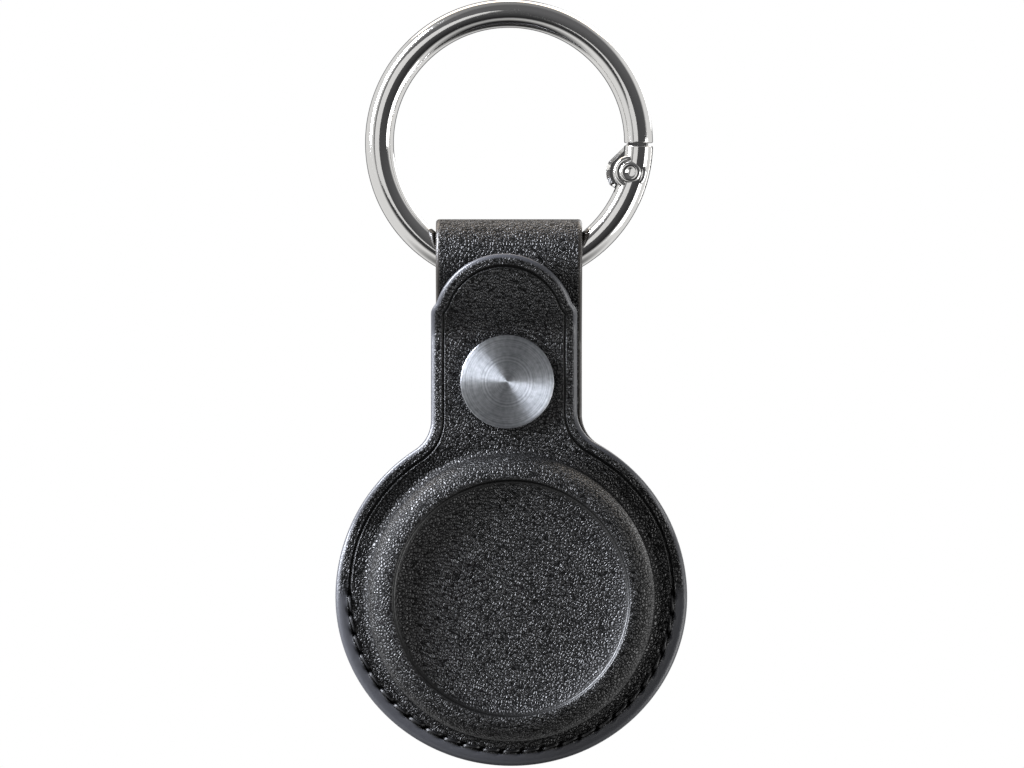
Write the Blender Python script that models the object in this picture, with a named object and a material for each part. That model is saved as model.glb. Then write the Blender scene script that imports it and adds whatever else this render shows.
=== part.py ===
"""Leather tracker holder: a moulded leather pouch hanging on a sprung gate ring.

The holder hangs upright. +Z is up, the domed front faces -Y and the flat rear faces +Y. The origin
is the hang point, the top of the ring's inside, in the middle plane of the ring. Depths are counted
forward from the flat rear face of the back panel.
"""

import math

import bmesh
import bpy
from mathutils import Matrix, Vector

# Ring
RING_INNER_DIAMETER = 0.0280
RING_WIRE_DIAMETER = 0.0035
RING_WIRE_SIDES = 20
RING_STEP_ANGLE = math.radians(5.0)

# Gate and its hinge, with angles measured clockwise from the ring's right side, seen from the front
GATE_PIN_ANGLE = math.radians(13.7)
GATE_PIN_INSET = 0.0006
GATE_NOSE_ANGLE = math.radians(86.0)
GATE_NOSE_GAP = 0.0003
GATE_SPLIT_GAP = 0.00036
GATE_TRAVEL = math.radians(35.0)
GATE_BOSS_RADIUS = 0.00208
GATE_BOSS_THICKNESS = 0.0031
TANG_THICKNESS = 0.0012
TANG_SIDE_CLEARANCE = 0.0001
TANG_ROOT_DEPTH = 0.0016
TANG_ROOT_INSET = 0.00045
LUG_LEAST_RADIUS = 0.0021
LUG_SLOT_CLEARANCE = 0.00025
PIN_DIAMETER = 0.0012
PIN_RUNNING_CLEARANCE = 0.00005
PIN_SEAT_CLEARANCE = 0.00002
PIN_HEAD_DIAMETER = 0.0027
PIN_HEAD_THICKNESS = 0.0004
PIN_HEAD_DIMPLE_DIAMETER = 0.0013
PIN_HEAD_DIMPLE_DEPTH = 0.00025
PIN_HEAD_GAP = 0.00003
PIN_HEAD_SINK = 0.00012

# Plunger and spring that close the gate
PLUNGER_TRAVEL = 0.0006
PLUNGER_DIAMETER = 0.0014
PLUNGER_LENGTH = 0.0016
PLUNGER_CAM_GAP = 0.00004
BORE_SIDE_CLEARANCE = 0.00006
BORE_DEPTH = 0.0068
SPRING_WIRE_DIAMETER = 0.00022
SPRING_TURNS = 6
SPRING_POINTS_PER_TURN = 10
SPRING_END_GAP = 0.00006

# Leather
BACK_THICKNESS = 0.0013
FRONT_THICKNESS = 0.0013
STRAP_THICKNESS = 0.0013
LEATHER_EDGE_ROUND = 0.00035
LAYER_GAP = 0.0001
STRAP_WIDTH = 0.01775
STRAP_SPLIT_GAP = 0.00012

# Strap loop over the ring
LOOP_RING_CLEARANCE = 0.00026
LOOP_INNER_RADIUS = 0.0035
LOOP_CLOSES_BELOW_PIVOT = 0.0102
LOOP_BEND_RADIUS = 0.0030
LOOP_JOIN_BELOW_PIVOT = 0.0060
STRAP_END_BELOW_SNAP = 0.0046

# Pouch disc and neck
DOME_TOP_BELOW_FOLD = 0.00223
DISC_OFFSET = 0.00028
FLANGE_WIDTH = 0.00404
FLANGE_BOTTOM_WIDTH = 0.00321
NECK_FILLET_RADIUS = 0.0043

# Tracker pocket and its moulded dome
TRACKER_DIAMETER = 0.0319
TRACKER_THICKNESS = 0.0080
POCKET_SIDE_CLEARANCE = 0.00015
POCKET_DEPTH_CLEARANCE = 0.0003
DOME_CREST_RISE = 0.0009
DOME_SHOULDER_RADIUS = 0.0028
DOME_RECESS_RADIUS = 0.0142
DOME_RECESS_SLOPE = 0.0010
DOME_FOOT_FILLET = 0.0009

# Front flap
FLAP_OFFSET = -0.0006
FLAP_TOP_ABOVE_PIVOT = 0.00056
FLAP_ARC_RADIUS = 0.00863
FLAP_SHOULDER_BELOW_TOP = 0.0065
FLAP_LOOP_CLEARANCE = 0.00035
FLAP_FOLD_BELOW_SNAP = 0.00658
FLAP_FOLD_GAP = 0.00025
FLAP_LAND_MARGIN = 0.00012
FLAP_RAMP_TOP_BELOW_PIVOT = 0.00154
FLAP_BEND_LENGTH = 0.0011
FLAP_LIFT_DROP = 0.0120

# Snap fastener
SNAP_BELOW_PIVOT = 0.01496
SNAP_OFFSET = -0.00022
SNAP_CAP_DIAMETER = 0.01136
SNAP_CAP_RIM_HEIGHT = 0.00065
SNAP_CAP_DISH = 0.00022
SNAP_CAP_BEVEL = 0.00022
SNAP_CAP_WALL = 0.0003
SNAP_CAP_POST_DIAMETER = 0.0030
SNAP_CAP_POST_BORE = 0.0018
SNAP_SOCKET_DIAMETER = 0.0082
SNAP_SOCKET_WALL = 0.0005
SNAP_SOCKET_MOUTH_CLEARANCE = 0.00035
SNAP_SPRING_WIRE = 0.00036
SNAP_SPRING_GAP_ANGLE = math.radians(50.0)
SNAP_STUD_BASE_DIAMETER = 0.0080
SNAP_STUD_BASE_THICKNESS = 0.00035
SNAP_STUD_KNOB_DIAMETER = 0.0040
SNAP_STUD_NECK_DIAMETER = 0.0033
SNAP_STUD_TIP_DIAMETER = 0.0024
SNAP_STUD_BULGE_HEIGHT = 0.0004
SNAP_STUD_TAPER_POWER = 1.3
SNAP_STUD_HEIGHT = 0.0018
SNAP_STUD_WALL = 0.00035
SNAP_POST_FLANGE_DIAMETER = 0.0076
SNAP_POST_FLANGE_THICKNESS = 0.0004
SNAP_POST_DIAMETER = 0.0024
SNAP_POST_BORE = 0.0012
SNAP_FLOAT = 0.00012
SNAP_SEAT_GAP = 0.00005
POST_HOLE_CLEARANCE = 0.00012

# Facets
TURNED_STEPS = 40
SMALL_TURNED_STEPS = 20
DISC_POINTS = 72
FILLET_POINTS = 6
LOOP_ARC_POINTS = 20
BEND_POINTS = 6
FLAP_COLUMNS = 8
FLAP_ARC_ROWS = 9
SHOULDER_POINTS = 5
LUG_POINTS = 36
CUT_OVERRUN = 0.0010
WELD_DISTANCE = 0.0000005
SMOOTH_ANGLE = math.radians(35.0)

# Finishes: linear base colour, roughness, metallic
CHROME = ("polished_nickel", (0.60, 0.60, 0.61), 0.12, 1.0)
STEEL = ("turned_steel", (0.48, 0.49, 0.50), 0.32, 1.0)
SPRING_STEEL = ("spring_steel", (0.35, 0.35, 0.36), 0.35, 1.0)
LEATHER = ("black_leather", (0.022, 0.021, 0.023), 0.48, 0.0)
LEATHER_BACK = ("black_leather_back", (0.026, 0.025, 0.026), 0.55, 0.0)

# Places worked out from the sizes
RING_CENTRE_Z = -RING_INNER_DIAMETER / 2
WIRE_RADIUS = RING_WIRE_DIAMETER / 2
RING_RADIUS = RING_INNER_DIAMETER / 2 + WIRE_RADIUS
STRAP_HALF_WIDTH = STRAP_WIDTH / 2
EYE_DEPTH_AT_STRAP = math.sqrt((RING_INNER_DIAMETER / 2) ** 2 - STRAP_HALF_WIDTH ** 2)
LOOP_TOP_Z = RING_CENTRE_Z - EYE_DEPTH_AT_STRAP + LOOP_RING_CLEARANCE
PIVOT_Z = LOOP_TOP_Z - LOOP_INNER_RADIUS
BACK_Y = LOOP_INNER_RADIUS + BACK_THICKNESS
SNAP_Z = PIVOT_Z - SNAP_BELOW_PIVOT
FOLD_Z = SNAP_Z - FLAP_FOLD_BELOW_SNAP
JOIN_Z = PIVOT_Z - LOOP_JOIN_BELOW_PIVOT
STRAP_END_Z = SNAP_Z - STRAP_END_BELOW_SNAP
FLAP_TOP_Z = PIVOT_Z + FLAP_TOP_ABOVE_PIVOT
FLAP_RAMP_LOW_Z = SNAP_Z + SNAP_CAP_DIAMETER / 2 + FLAP_LAND_MARGIN + FLAP_BEND_LENGTH

FLANGE_BACK_DEPTH = BACK_THICKNESS + LAYER_GAP
FLANGE_FRONT_DEPTH = FLANGE_BACK_DEPTH + FRONT_THICKNESS
LEAF_FRONT_DEPTH = BACK_THICKNESS + LAYER_GAP + STRAP_THICKNESS
STUD_SEAT_DEPTH = LEAF_FRONT_DEPTH + SNAP_SEAT_GAP
STUD_BASE_DEPTH = STUD_SEAT_DEPTH + SNAP_STUD_BASE_THICKNESS
STUD_TOP_DEPTH = STUD_BASE_DEPTH + SNAP_STUD_HEIGHT
SOCKET_BACK_DEPTH = STUD_BASE_DEPTH + SNAP_FLOAT
SOCKET_FRONT_DEPTH = STUD_TOP_DEPTH + SNAP_FLOAT + SNAP_SOCKET_WALL
FLAP_BACK_DEPTH = SOCKET_FRONT_DEPTH + SNAP_SEAT_GAP
FLAP_MIDDLE_DEPTH = FLAP_BACK_DEPTH + FRONT_THICKNESS / 2
FLAP_FRONT_DEPTH = FLAP_BACK_DEPTH + FRONT_THICKNESS
LOOP_FRONT_DEPTH = BACK_THICKNESS + 2 * LOOP_INNER_RADIUS + STRAP_THICKNESS
FLAP_TIP_DEPTH = LOOP_FRONT_DEPTH + FLAP_LOOP_CLEARANCE + FRONT_THICKNESS / 2
CAP_SEAT_DEPTH = FLAP_FRONT_DEPTH + SNAP_SEAT_GAP

POCKET_RADIUS = TRACKER_DIAMETER / 2 + POCKET_SIDE_CLEARANCE
DOME_WALL_RADIUS = POCKET_RADIUS + FRONT_THICKNESS
DISC_RADIUS = DOME_WALL_RADIUS + FLANGE_WIDTH
DISC_BOTTOM_RADIUS = DOME_WALL_RADIUS + FLANGE_BOTTOM_WIDTH
DISC_Z = FOLD_Z - DOME_TOP_BELOW_FOLD - DOME_WALL_RADIUS
RECESS_BACK_DEPTH = BACK_THICKNESS + TRACKER_THICKNESS + POCKET_DEPTH_CLEARANCE
RECESS_FRONT_DEPTH = RECESS_BACK_DEPTH + FRONT_THICKNESS
CREST_FRONT_DEPTH = RECESS_FRONT_DEPTH + DOME_CREST_RISE

PIN_RADIUS = RING_RADIUS - GATE_PIN_INSET
PIN_X = PIN_RADIUS * math.cos(GATE_PIN_ANGLE)
PIN_Z = RING_CENTRE_Z - PIN_RADIUS * math.sin(GATE_PIN_ANGLE)
NOSE_REACH = math.sqrt(RING_RADIUS ** 2 + PIN_RADIUS ** 2
                       - 2 * RING_RADIUS * PIN_RADIUS * math.cos(GATE_NOSE_ANGLE - GATE_PIN_ANGLE))
BORE_HEADING = -math.pi / 2 - GATE_PIN_ANGLE
CAM_RATE = PLUNGER_TRAVEL / GATE_TRAVEL
PLUNGER_TIP = LUG_LEAST_RADIUS + PLUNGER_CAM_GAP
HEAD_SEAT = GATE_BOSS_THICKNESS / 2 - PIN_HEAD_SINK
FORK_HALF_GAP = TANG_THICKNESS / 2 + TANG_SIDE_CLEARANCE
FORK_DEPTH = LUG_LEAST_RADIUS + PLUNGER_TRAVEL + LUG_SLOT_CLEARANCE


def clear_scene():
    """Remove every object, so that the model starts from nothing."""
    for obj in list(bpy.data.objects):
        bpy.data.objects.remove(obj, do_unlink=True)


def depth_y(depth):
    """World Y of a depth counted forward from the rear face of the back panel."""
    return BACK_Y - depth


def finish(settings):
    """Principled material from a name, colour, roughness and metallic value."""
    name, colour, roughness, metallic = settings
    mat = bpy.data.materials.get(name)
    if mat is None:
        mat = bpy.data.materials.new(name)
        mat.use_nodes = True
        shader = mat.node_tree.nodes["Principled BSDF"]
        shader.inputs["Base Color"].default_value = (*colour, 1.0)
        shader.inputs["Roughness"].default_value = roughness
        shader.inputs["Metallic"].default_value = metallic
        mat.diffuse_color = (*colour, 1.0)
    return mat


def make_object(name, bm, settings):
    """Weld and orient a bmesh, and link it as a named object with its material."""
    bmesh.ops.remove_doubles(bm, verts=bm.verts, dist=WELD_DISTANCE)
    bmesh.ops.recalc_face_normals(bm, faces=bm.faces)
    mesh = bpy.data.meshes.new(name)
    bm.to_mesh(mesh)
    bm.free()
    mesh.shade_smooth()
    mesh.set_sharp_from_angle(angle=SMOOTH_ANGLE)
    mesh.materials.append(finish(settings))
    obj = bpy.data.objects.new(name, mesh)
    bpy.context.scene.collection.objects.link(obj)
    return obj


def guide(name, bm):
    """A hidden cutter made from a bmesh."""
    obj = make_object(name, bm, STEEL)
    obj.hide_render = True
    obj.display_type = "WIRE"
    return obj


def boolean(obj, other, operation):
    """Exact Boolean of an object with a hidden one."""
    modifier = obj.modifiers.new(operation.lower(), "BOOLEAN")
    modifier.operation = operation
    modifier.solver = "EXACT"
    modifier.object = other


def loft(loops, closed=False):
    """Bmesh skin through closed loops of equal length, with flat end caps or joined end to end."""
    bm = bmesh.new()
    rows = [[bm.verts.new(point) for point in loop] for loop in loops]
    pairs = list(zip(rows, rows[1:]))
    if closed:
        pairs.append((rows[-1], rows[0]))
    for low, high in pairs:
        count = len(low)
        for i in range(count):
            j = (i + 1) % count
            bm.faces.new((low[i], low[j], high[j], high[i]))
    if not closed:
        bm.faces.new(rows[0])
        bm.faces.new(rows[-1])
    return bm


def turn(profile, steps, closed=False):
    """Bmesh of a profile of (radius, height) points spun round the Z axis."""
    bm = bmesh.new()
    verts = [bm.verts.new((radius, 0.0, height)) for radius, height in profile]
    edges = [bm.edges.new(pair) for pair in zip(verts, verts[1:])]
    if closed:
        edges.append(bm.edges.new((verts[-1], verts[0])))
    bmesh.ops.spin(bm, geom=verts + edges, cent=(0, 0, 0), axis=(0, 0, 1), angle=2 * math.pi,
                   steps=steps, use_merge=True)
    return bm


def face_front(bm, x, y, z):
    """Turn a bmesh so that its +Z points to the front, and move it to a place."""
    matrix = Matrix.Translation((x, y, z)) @ Matrix.Rotation(math.pi / 2, 4, "X")
    bmesh.ops.transform(bm, matrix=matrix, verts=bm.verts)
    return bm


def cylinder(radius, low, high, steps):
    """Bmesh of a plain cylinder along Z."""
    return turn([(0.0, low), (radius, low), (radius, high), (0.0, high)], steps)


def prism(outline, axis, low, high):
    """Bmesh of a flat outline of (first, second) points, extruded along X or Y."""
    if axis == "X":
        loops = [[Vector((level, first, second)) for first, second in outline] for level in (low, high)]
    else:
        loops = [[Vector((first, level, second)) for first, second in outline] for level in (low, high)]
    return loft(loops)


def arc(centre, radius, start, stop, count):
    """Points of a circular arc in a plane, both ends included."""
    angles = [start + (stop - start) * i / count for i in range(count + 1)]
    return [(centre[0] + radius * math.cos(a), centre[1] + radius * math.sin(a)) for a in angles]


def wire_spot(angle, section_angle):
    """Point of the ring's wire at a clockwise angle round the ring and an angle round the wire."""
    outward = Vector((math.cos(angle), 0.0, -math.sin(angle)))
    spot = outward * (RING_RADIUS + WIRE_RADIUS * math.cos(section_angle))
    return spot + Vector((0.0, WIRE_RADIUS * math.sin(section_angle), RING_CENTRE_Z))


def section_angles():
    """Even angles round the wire's section."""
    return [2 * math.pi * (i + 0.5) / RING_WIRE_SIDES for i in range(RING_WIRE_SIDES)]


def wire_loops(start, stop):
    """Cross-sections at even steps along a stretch of the ring."""
    steps = max(1, round(abs(stop - start) / RING_STEP_ANGLE))
    return [[wire_spot(start + (stop - start) * i / steps, section) for section in section_angles()]
            for i in range(steps + 1)]


def nose_angle(radius, reach):
    """Clockwise angle at which a circle round the ring's centre is at a distance from the pin."""
    share = (radius ** 2 + PIN_RADIUS ** 2 - reach ** 2) / (2 * radius * PIN_RADIUS)
    return GATE_PIN_ANGLE + math.acos(share)


def nose_loop(reach):
    """Slanting end of the wire on a cylinder round the pin, along which the gate's nose slides open."""
    return [wire_spot(nose_angle(RING_RADIUS + WIRE_RADIUS * math.cos(section), reach), section)
            for section in section_angles()]


def lug_outline():
    """Side outline of the ring's tang: the lug round the pin, with the plunger's cam, and the root."""
    margin = GATE_TRAVEL / 3
    cam_start = BORE_HEADING + margin
    cam_end = BORE_HEADING - GATE_TRAVEL - margin
    cam_low = LUG_LEAST_RADIUS
    points = []
    heading_start = 0.0
    heading_end = -math.pi - GATE_PIN_ANGLE * 2
    for i in range(LUG_POINTS + 1):
        heading = heading_start + (heading_end - heading_start) * i / LUG_POINTS
        climb = BORE_HEADING - max(min(heading, cam_start), cam_end)
        radius = cam_low + CAM_RATE * climb
        points.append((PIN_X + radius * math.cos(heading), PIN_Z + radius * math.sin(heading)))
    inner_x = RING_RADIUS - WIRE_RADIUS + TANG_ROOT_INSET
    outer_x = RING_RADIUS + WIRE_RADIUS - TANG_ROOT_INSET
    root_z = RING_CENTRE_Z + TANG_ROOT_DEPTH
    points += [(inner_x, RING_CENTRE_Z), (inner_x, root_z), (outer_x, root_z)]
    return points


def make_ring_body():
    """C-shaped body of the ring, with the hinge tang at one end and a slant for the gate at the other."""
    reach = NOSE_REACH + GATE_NOSE_GAP / 2
    last_angle = nose_angle(RING_RADIUS - WIRE_RADIUS, reach) + RING_STEP_ANGLE / 4
    wire = wire_loops(2 * math.pi, last_angle) + [nose_loop(reach)]
    body = make_object("ring_body", loft(wire), CHROME)
    tang = guide("tang_form", prism(lug_outline(), "Y", -TANG_THICKNESS / 2, TANG_THICKNESS / 2))
    boolean(body, tang, "UNION")
    hole_radius = PIN_DIAMETER / 2 + PIN_RUNNING_CLEARANCE
    hole = cylinder(hole_radius, -WIRE_RADIUS, WIRE_RADIUS, SMALL_TURNED_STEPS)
    boolean(body, guide("tang_hole", face_front(hole, PIN_X, 0.0, PIN_Z)), "DIFFERENCE")
    return body


def bore_matrix(distance):
    """Places local +Z along the gate's bore, at a distance from the pin."""
    heading = Vector((math.cos(BORE_HEADING), 0.0, math.sin(BORE_HEADING)))
    place = Vector((PIN_X, 0.0, PIN_Z)) + heading * distance
    return Matrix.Translation(place) @ heading.to_track_quat("Z", "Y").to_matrix().to_4x4()


def make_ring_gate():
    """Gate of the ring: a forked arc with a boss round the pin, a blind bore and a slanting nose."""
    reach = NOSE_REACH - GATE_NOSE_GAP / 2
    top_angle = math.asin(GATE_SPLIT_GAP / RING_RADIUS)
    last_angle = nose_angle(RING_RADIUS + WIRE_RADIUS, reach) - RING_STEP_ANGLE / 4
    wire = wire_loops(top_angle, last_angle) + [nose_loop(reach)]
    gate = make_object("ring_gate", loft(wire), CHROME)
    half_boss = GATE_BOSS_THICKNESS / 2
    boss = cylinder(GATE_BOSS_RADIUS, -half_boss, half_boss, TURNED_STEPS)
    boolean(gate, guide("gate_boss", face_front(boss, PIN_X, 0.0, PIN_Z)), "UNION")
    slot_low = PIN_Z - FORK_DEPTH
    slot_outline = [
        (PIN_X - FORK_DEPTH - WIRE_RADIUS, slot_low),
        (PIN_X + FORK_DEPTH + WIRE_RADIUS, slot_low),
        (PIN_X + FORK_DEPTH + WIRE_RADIUS, RING_CENTRE_Z + CUT_OVERRUN),
        (PIN_X - FORK_DEPTH - WIRE_RADIUS, RING_CENTRE_Z + CUT_OVERRUN),
    ]
    slot = guide("fork_slot", prism(slot_outline, "Y", -FORK_HALF_GAP, FORK_HALF_GAP))
    boolean(gate, slot, "DIFFERENCE")
    hole = PIN_DIAMETER / 2 + PIN_SEAT_CLEARANCE
    seat = PIN_HEAD_DIAMETER / 2 + PIN_RUNNING_CLEARANCE
    half = [(hole, HEAD_SEAT), (seat, HEAD_SEAT), (seat, RING_WIRE_DIAMETER), (0.0, RING_WIRE_DIAMETER)]
    profile = [(radius, -height) for radius, height in reversed(half)] + half
    pin_room = face_front(turn(profile, SMALL_TURNED_STEPS), PIN_X, 0.0, PIN_Z)
    boolean(gate, guide("pin_room", pin_room), "DIFFERENCE")
    bore = cylinder(PLUNGER_DIAMETER / 2 + BORE_SIDE_CLEARANCE, LUG_LEAST_RADIUS, BORE_DEPTH,
                    SMALL_TURNED_STEPS)
    bmesh.ops.transform(bore, matrix=bore_matrix(0.0), verts=bore.verts)
    boolean(gate, guide("spring_bore", bore), "DIFFERENCE")
    return gate


def make_hinge_pin():
    """Rivet through the gate's cheeks and the tang, with a dimpled head on each side."""
    shaft = PIN_DIAMETER / 2
    head = PIN_HEAD_DIAMETER / 2
    dimple = PIN_HEAD_DIMPLE_DIAMETER / 2
    inner = HEAD_SEAT + PIN_HEAD_GAP
    outer = inner + PIN_HEAD_THICKNESS
    edge = PIN_HEAD_THICKNESS / 3
    half = [(shaft, inner), (head, inner), (head, outer - edge), (head - edge, outer), (dimple, outer),
            (0.0, outer - PIN_HEAD_DIMPLE_DEPTH)]
    profile = [(radius, -height) for radius, height in reversed(half)] + half
    pin = face_front(turn(profile, SMALL_TURNED_STEPS), PIN_X, 0.0, PIN_Z)
    return make_object("hinge_pin", pin, CHROME)


def make_gate_plunger():
    """Round-nosed plunger that the spring presses on the tang's cam."""
    radius = PLUNGER_DIAMETER / 2
    nose = [(radius * math.sin(a), radius * (1 - math.cos(a)))
            for a in (math.pi / 2 * i / SHOULDER_POINTS for i in range(SHOULDER_POINTS + 1))]
    profile = nose + [(radius, PLUNGER_LENGTH), (0.0, PLUNGER_LENGTH)]
    plunger = turn(profile, SMALL_TURNED_STEPS)
    bmesh.ops.transform(plunger, matrix=bore_matrix(PLUNGER_TIP), verts=plunger.verts)
    return make_object("gate_plunger", plunger, SPRING_STEEL)


def make_gate_spring():
    """Coil spring between the plunger and the blind end of the gate's bore."""
    wire = SPRING_WIRE_DIAMETER / 2
    start = PLUNGER_TIP + PLUNGER_LENGTH + wire + SPRING_END_GAP
    stop = BORE_DEPTH - wire - SPRING_END_GAP
    coil = PLUNGER_DIAMETER / 2 - wire - SPRING_END_GAP
    count = SPRING_TURNS * SPRING_POINTS_PER_TURN
    curve = bpy.data.curves.new("gate_spring", "CURVE")
    curve.dimensions = "3D"
    curve.bevel_depth = wire
    curve.bevel_resolution = 1
    curve.use_fill_caps = True
    spline = curve.splines.new("POLY")
    spline.points.add(count)
    place = bore_matrix(0.0)
    for i, point in enumerate(spline.points):
        angle = 2 * math.pi * i / SPRING_POINTS_PER_TURN
        along = start + (stop - start) * i / count
        spot = place @ Vector((coil * math.cos(angle), coil * math.sin(angle), along))
        point.co = (*spot, 1.0)
    curve.materials.append(finish(SPRING_STEEL))
    spring = bpy.data.objects.new("gate_spring", curve)
    bpy.context.scene.collection.objects.link(spring)
    return spring


def disc_side(neck_x, side):
    """Upper outline on one side, from the neck down its fillet and round the disc to its widest point."""
    neck_edge = neck_x + side * STRAP_HALF_WIDTH
    fillet_x = neck_edge + side * NECK_FILLET_RADIUS
    reach = DISC_RADIUS + NECK_FILLET_RADIUS
    rise = math.sqrt(reach ** 2 - (fillet_x - DISC_OFFSET) ** 2)
    fillet_z = DISC_Z + rise
    touch = math.atan2(rise, side * (fillet_x - DISC_OFFSET))
    fillet = [(fillet_x - side * NECK_FILLET_RADIUS * math.cos(touch * i / FILLET_POINTS),
               fillet_z - NECK_FILLET_RADIUS * math.sin(touch * i / FILLET_POINTS))
              for i in range(FILLET_POINTS + 1)]
    count = max(2, round(DISC_POINTS * touch / (2 * math.pi)))
    disc = [(DISC_OFFSET + side * DISC_RADIUS * math.cos(touch * (1 - i / count)),
             DISC_Z + DISC_RADIUS * math.sin(touch * (1 - i / count)))
            for i in range(1, count + 1)]
    return fillet + disc


def disc_bottom():
    """Lower outline of the disc, a half ellipse from its right end to its left, ends left out."""
    count = DISC_POINTS // 2
    return [(DISC_OFFSET + DISC_RADIUS * math.cos(math.pi * i / count),
             DISC_Z - DISC_BOTTOM_RADIUS * math.sin(math.pi * i / count))
            for i in range(1, count)]


def cut_level(points, level):
    """Keep a falling outline from a level down, starting exactly on it."""
    for i, (first, second) in enumerate(zip(points, points[1:])):
        if first[1] >= level > second[1]:
            share = (first[1] - level) / (first[1] - second[1])
            edge = first[0] + (second[0] - first[0]) * share
            return [(edge, level)] + points[i + 1:]
    return [(points[0][0], level)] + points


def pouch_outline(neck_x, top_z):
    """Closed outline of the disc and its neck up to a level, clockwise from the neck's right corner."""
    right = cut_level(disc_side(neck_x, 1), top_z)
    left = cut_level(disc_side(neck_x, -1), top_z)
    return right + disc_bottom() + left[::-1]


def make_back_panel():
    """Flat rear leather of the disc and neck, with the hole and recess of the snap's rear post."""
    sheet = prism(pouch_outline(0.0, JOIN_Z), "Y", BACK_Y, depth_y(BACK_THICKNESS))
    panel = make_object("back_panel", sheet, LEATHER_BACK)
    bevel = panel.modifiers.new("edge_round", "BEVEL")
    bevel.width = LEATHER_EDGE_ROUND
    bevel.segments = 2
    bevel.limit_method = "ANGLE"
    bevel.angle_limit = math.radians(60.0)
    boolean(panel, post_hole_cutter("panel_post_hole"), "DIFFERENCE")
    recess_depth = SNAP_POST_FLANGE_THICKNESS + 2 * SNAP_SEAT_GAP
    recess = cylinder(SNAP_POST_FLANGE_DIAMETER / 2 + POST_HOLE_CLEARANCE, -CUT_OVERRUN, recess_depth,
                      TURNED_STEPS)
    boolean(panel, guide("flange_recess", face_front(recess, SNAP_OFFSET, BACK_Y, SNAP_Z)), "DIFFERENCE")
    return panel


def post_hole_cutter(name):
    """Cutter for the snap post's hole through both leaves of the neck."""
    hole = cylinder(SNAP_POST_DIAMETER / 2 + POST_HOLE_CLEARANCE, -CUT_OVERRUN,
                    LEAF_FRONT_DEPTH + CUT_OVERRUN, SMALL_TURNED_STEPS)
    return guide(name, face_front(hole, SNAP_OFFSET, BACK_Y, SNAP_Z))


def strap_path():
    """Middle line of the strap loop in (Y, Z): up the rear, over the ring and down the front leaf."""
    radius = LOOP_INNER_RADIUS + STRAP_THICKNESS / 2
    leaf_y = depth_y(LEAF_FRONT_DEPTH - STRAP_THICKNESS / 2)
    corner = Vector((leaf_y, -LOOP_CLOSES_BELOW_PIVOT))
    spread = math.acos(radius / corner.length)
    leave = math.atan2(corner.y, corner.x) - spread + 2 * math.pi
    path = [(radius, JOIN_Z + STRAP_SPLIT_GAP)]
    path += arc((0.0, PIVOT_Z), radius, 0.0, leave, LOOP_ARC_POINTS)
    slope = corner - Vector((radius * math.cos(leave), radius * math.sin(leave)))
    lean = math.atan2(slope.x, -slope.y)
    tangent = LOOP_BEND_RADIUS * math.tan(lean / 2)
    centre = (leaf_y - LOOP_BEND_RADIUS, PIVOT_Z + corner.y - tangent)
    path += arc(centre, LOOP_BEND_RADIUS, lean, 0.0, BEND_POINTS)
    path.append((leaf_y, STRAP_END_Z))
    return [Vector(point) for point in path]


def band_outline(path, thickness):
    """Closed outline of a band of even thickness along a middle line."""
    left, right = [], []
    for i, point in enumerate(path):
        before = path[max(i - 1, 0)]
        after = path[min(i + 1, len(path) - 1)]
        along = (after - before).normalized()
        side = Vector((-along.y, along.x)) * thickness / 2
        left.append(point + side)
        right.append(point - side)
    return [tuple(point) for point in left + right[::-1]]


def make_strap_loop():
    """Strap folded over the ring, with its front leaf down to the snap."""
    band = prism(band_outline(strap_path(), STRAP_THICKNESS), "X", -STRAP_HALF_WIDTH, STRAP_HALF_WIDTH)
    strap = make_object("strap_loop", band, LEATHER)
    bevel = strap.modifiers.new("edge_round", "BEVEL")
    bevel.width = LEATHER_EDGE_ROUND
    bevel.segments = 2
    bevel.limit_method = "ANGLE"
    bevel.angle_limit = math.radians(60.0)
    boolean(strap, post_hole_cutter("leaf_post_hole"), "DIFFERENCE")
    return strap


def flange_lift(z):
    """How far the unsewn top of the front panel stands off, rising smoothly towards the neck."""
    top_z = FOLD_Z - FRONT_THICKNESS / 2
    share = min(max((z - (top_z - FLAP_LIFT_DROP)) / FLAP_LIFT_DROP, 0.0), 1.0)
    return (FLAP_BACK_DEPTH - FLANGE_BACK_DEPTH) * share * share * (3 - 2 * share)


def dome_outer_profile():
    """Front face of the dome as (radius, depth), from the recess out to the foot of the wall."""
    shoulder_centre = (DOME_WALL_RADIUS - DOME_SHOULDER_RADIUS, CREST_FRONT_DEPTH - DOME_SHOULDER_RADIUS)
    floor_radius = DOME_RECESS_RADIUS - DOME_RECESS_SLOPE
    shoulder = arc(shoulder_centre, DOME_SHOULDER_RADIUS, math.pi / 2, 0.0, SHOULDER_POINTS)
    return [(floor_radius, RECESS_FRONT_DEPTH)] + shoulder


def dome_inner_profile():
    """Inside of the dome as (radius, depth), from the recess out to the pocket's wall."""
    radius = DOME_SHOULDER_RADIUS - FRONT_THICKNESS
    centre = (DOME_WALL_RADIUS - DOME_SHOULDER_RADIUS, CREST_FRONT_DEPTH - DOME_SHOULDER_RADIUS)
    floor_radius = DOME_RECESS_RADIUS - DOME_RECESS_SLOPE
    return [(floor_radius, RECESS_BACK_DEPTH)] + arc(centre, radius, math.pi / 2, 0.0, SHOULDER_POINTS)


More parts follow.
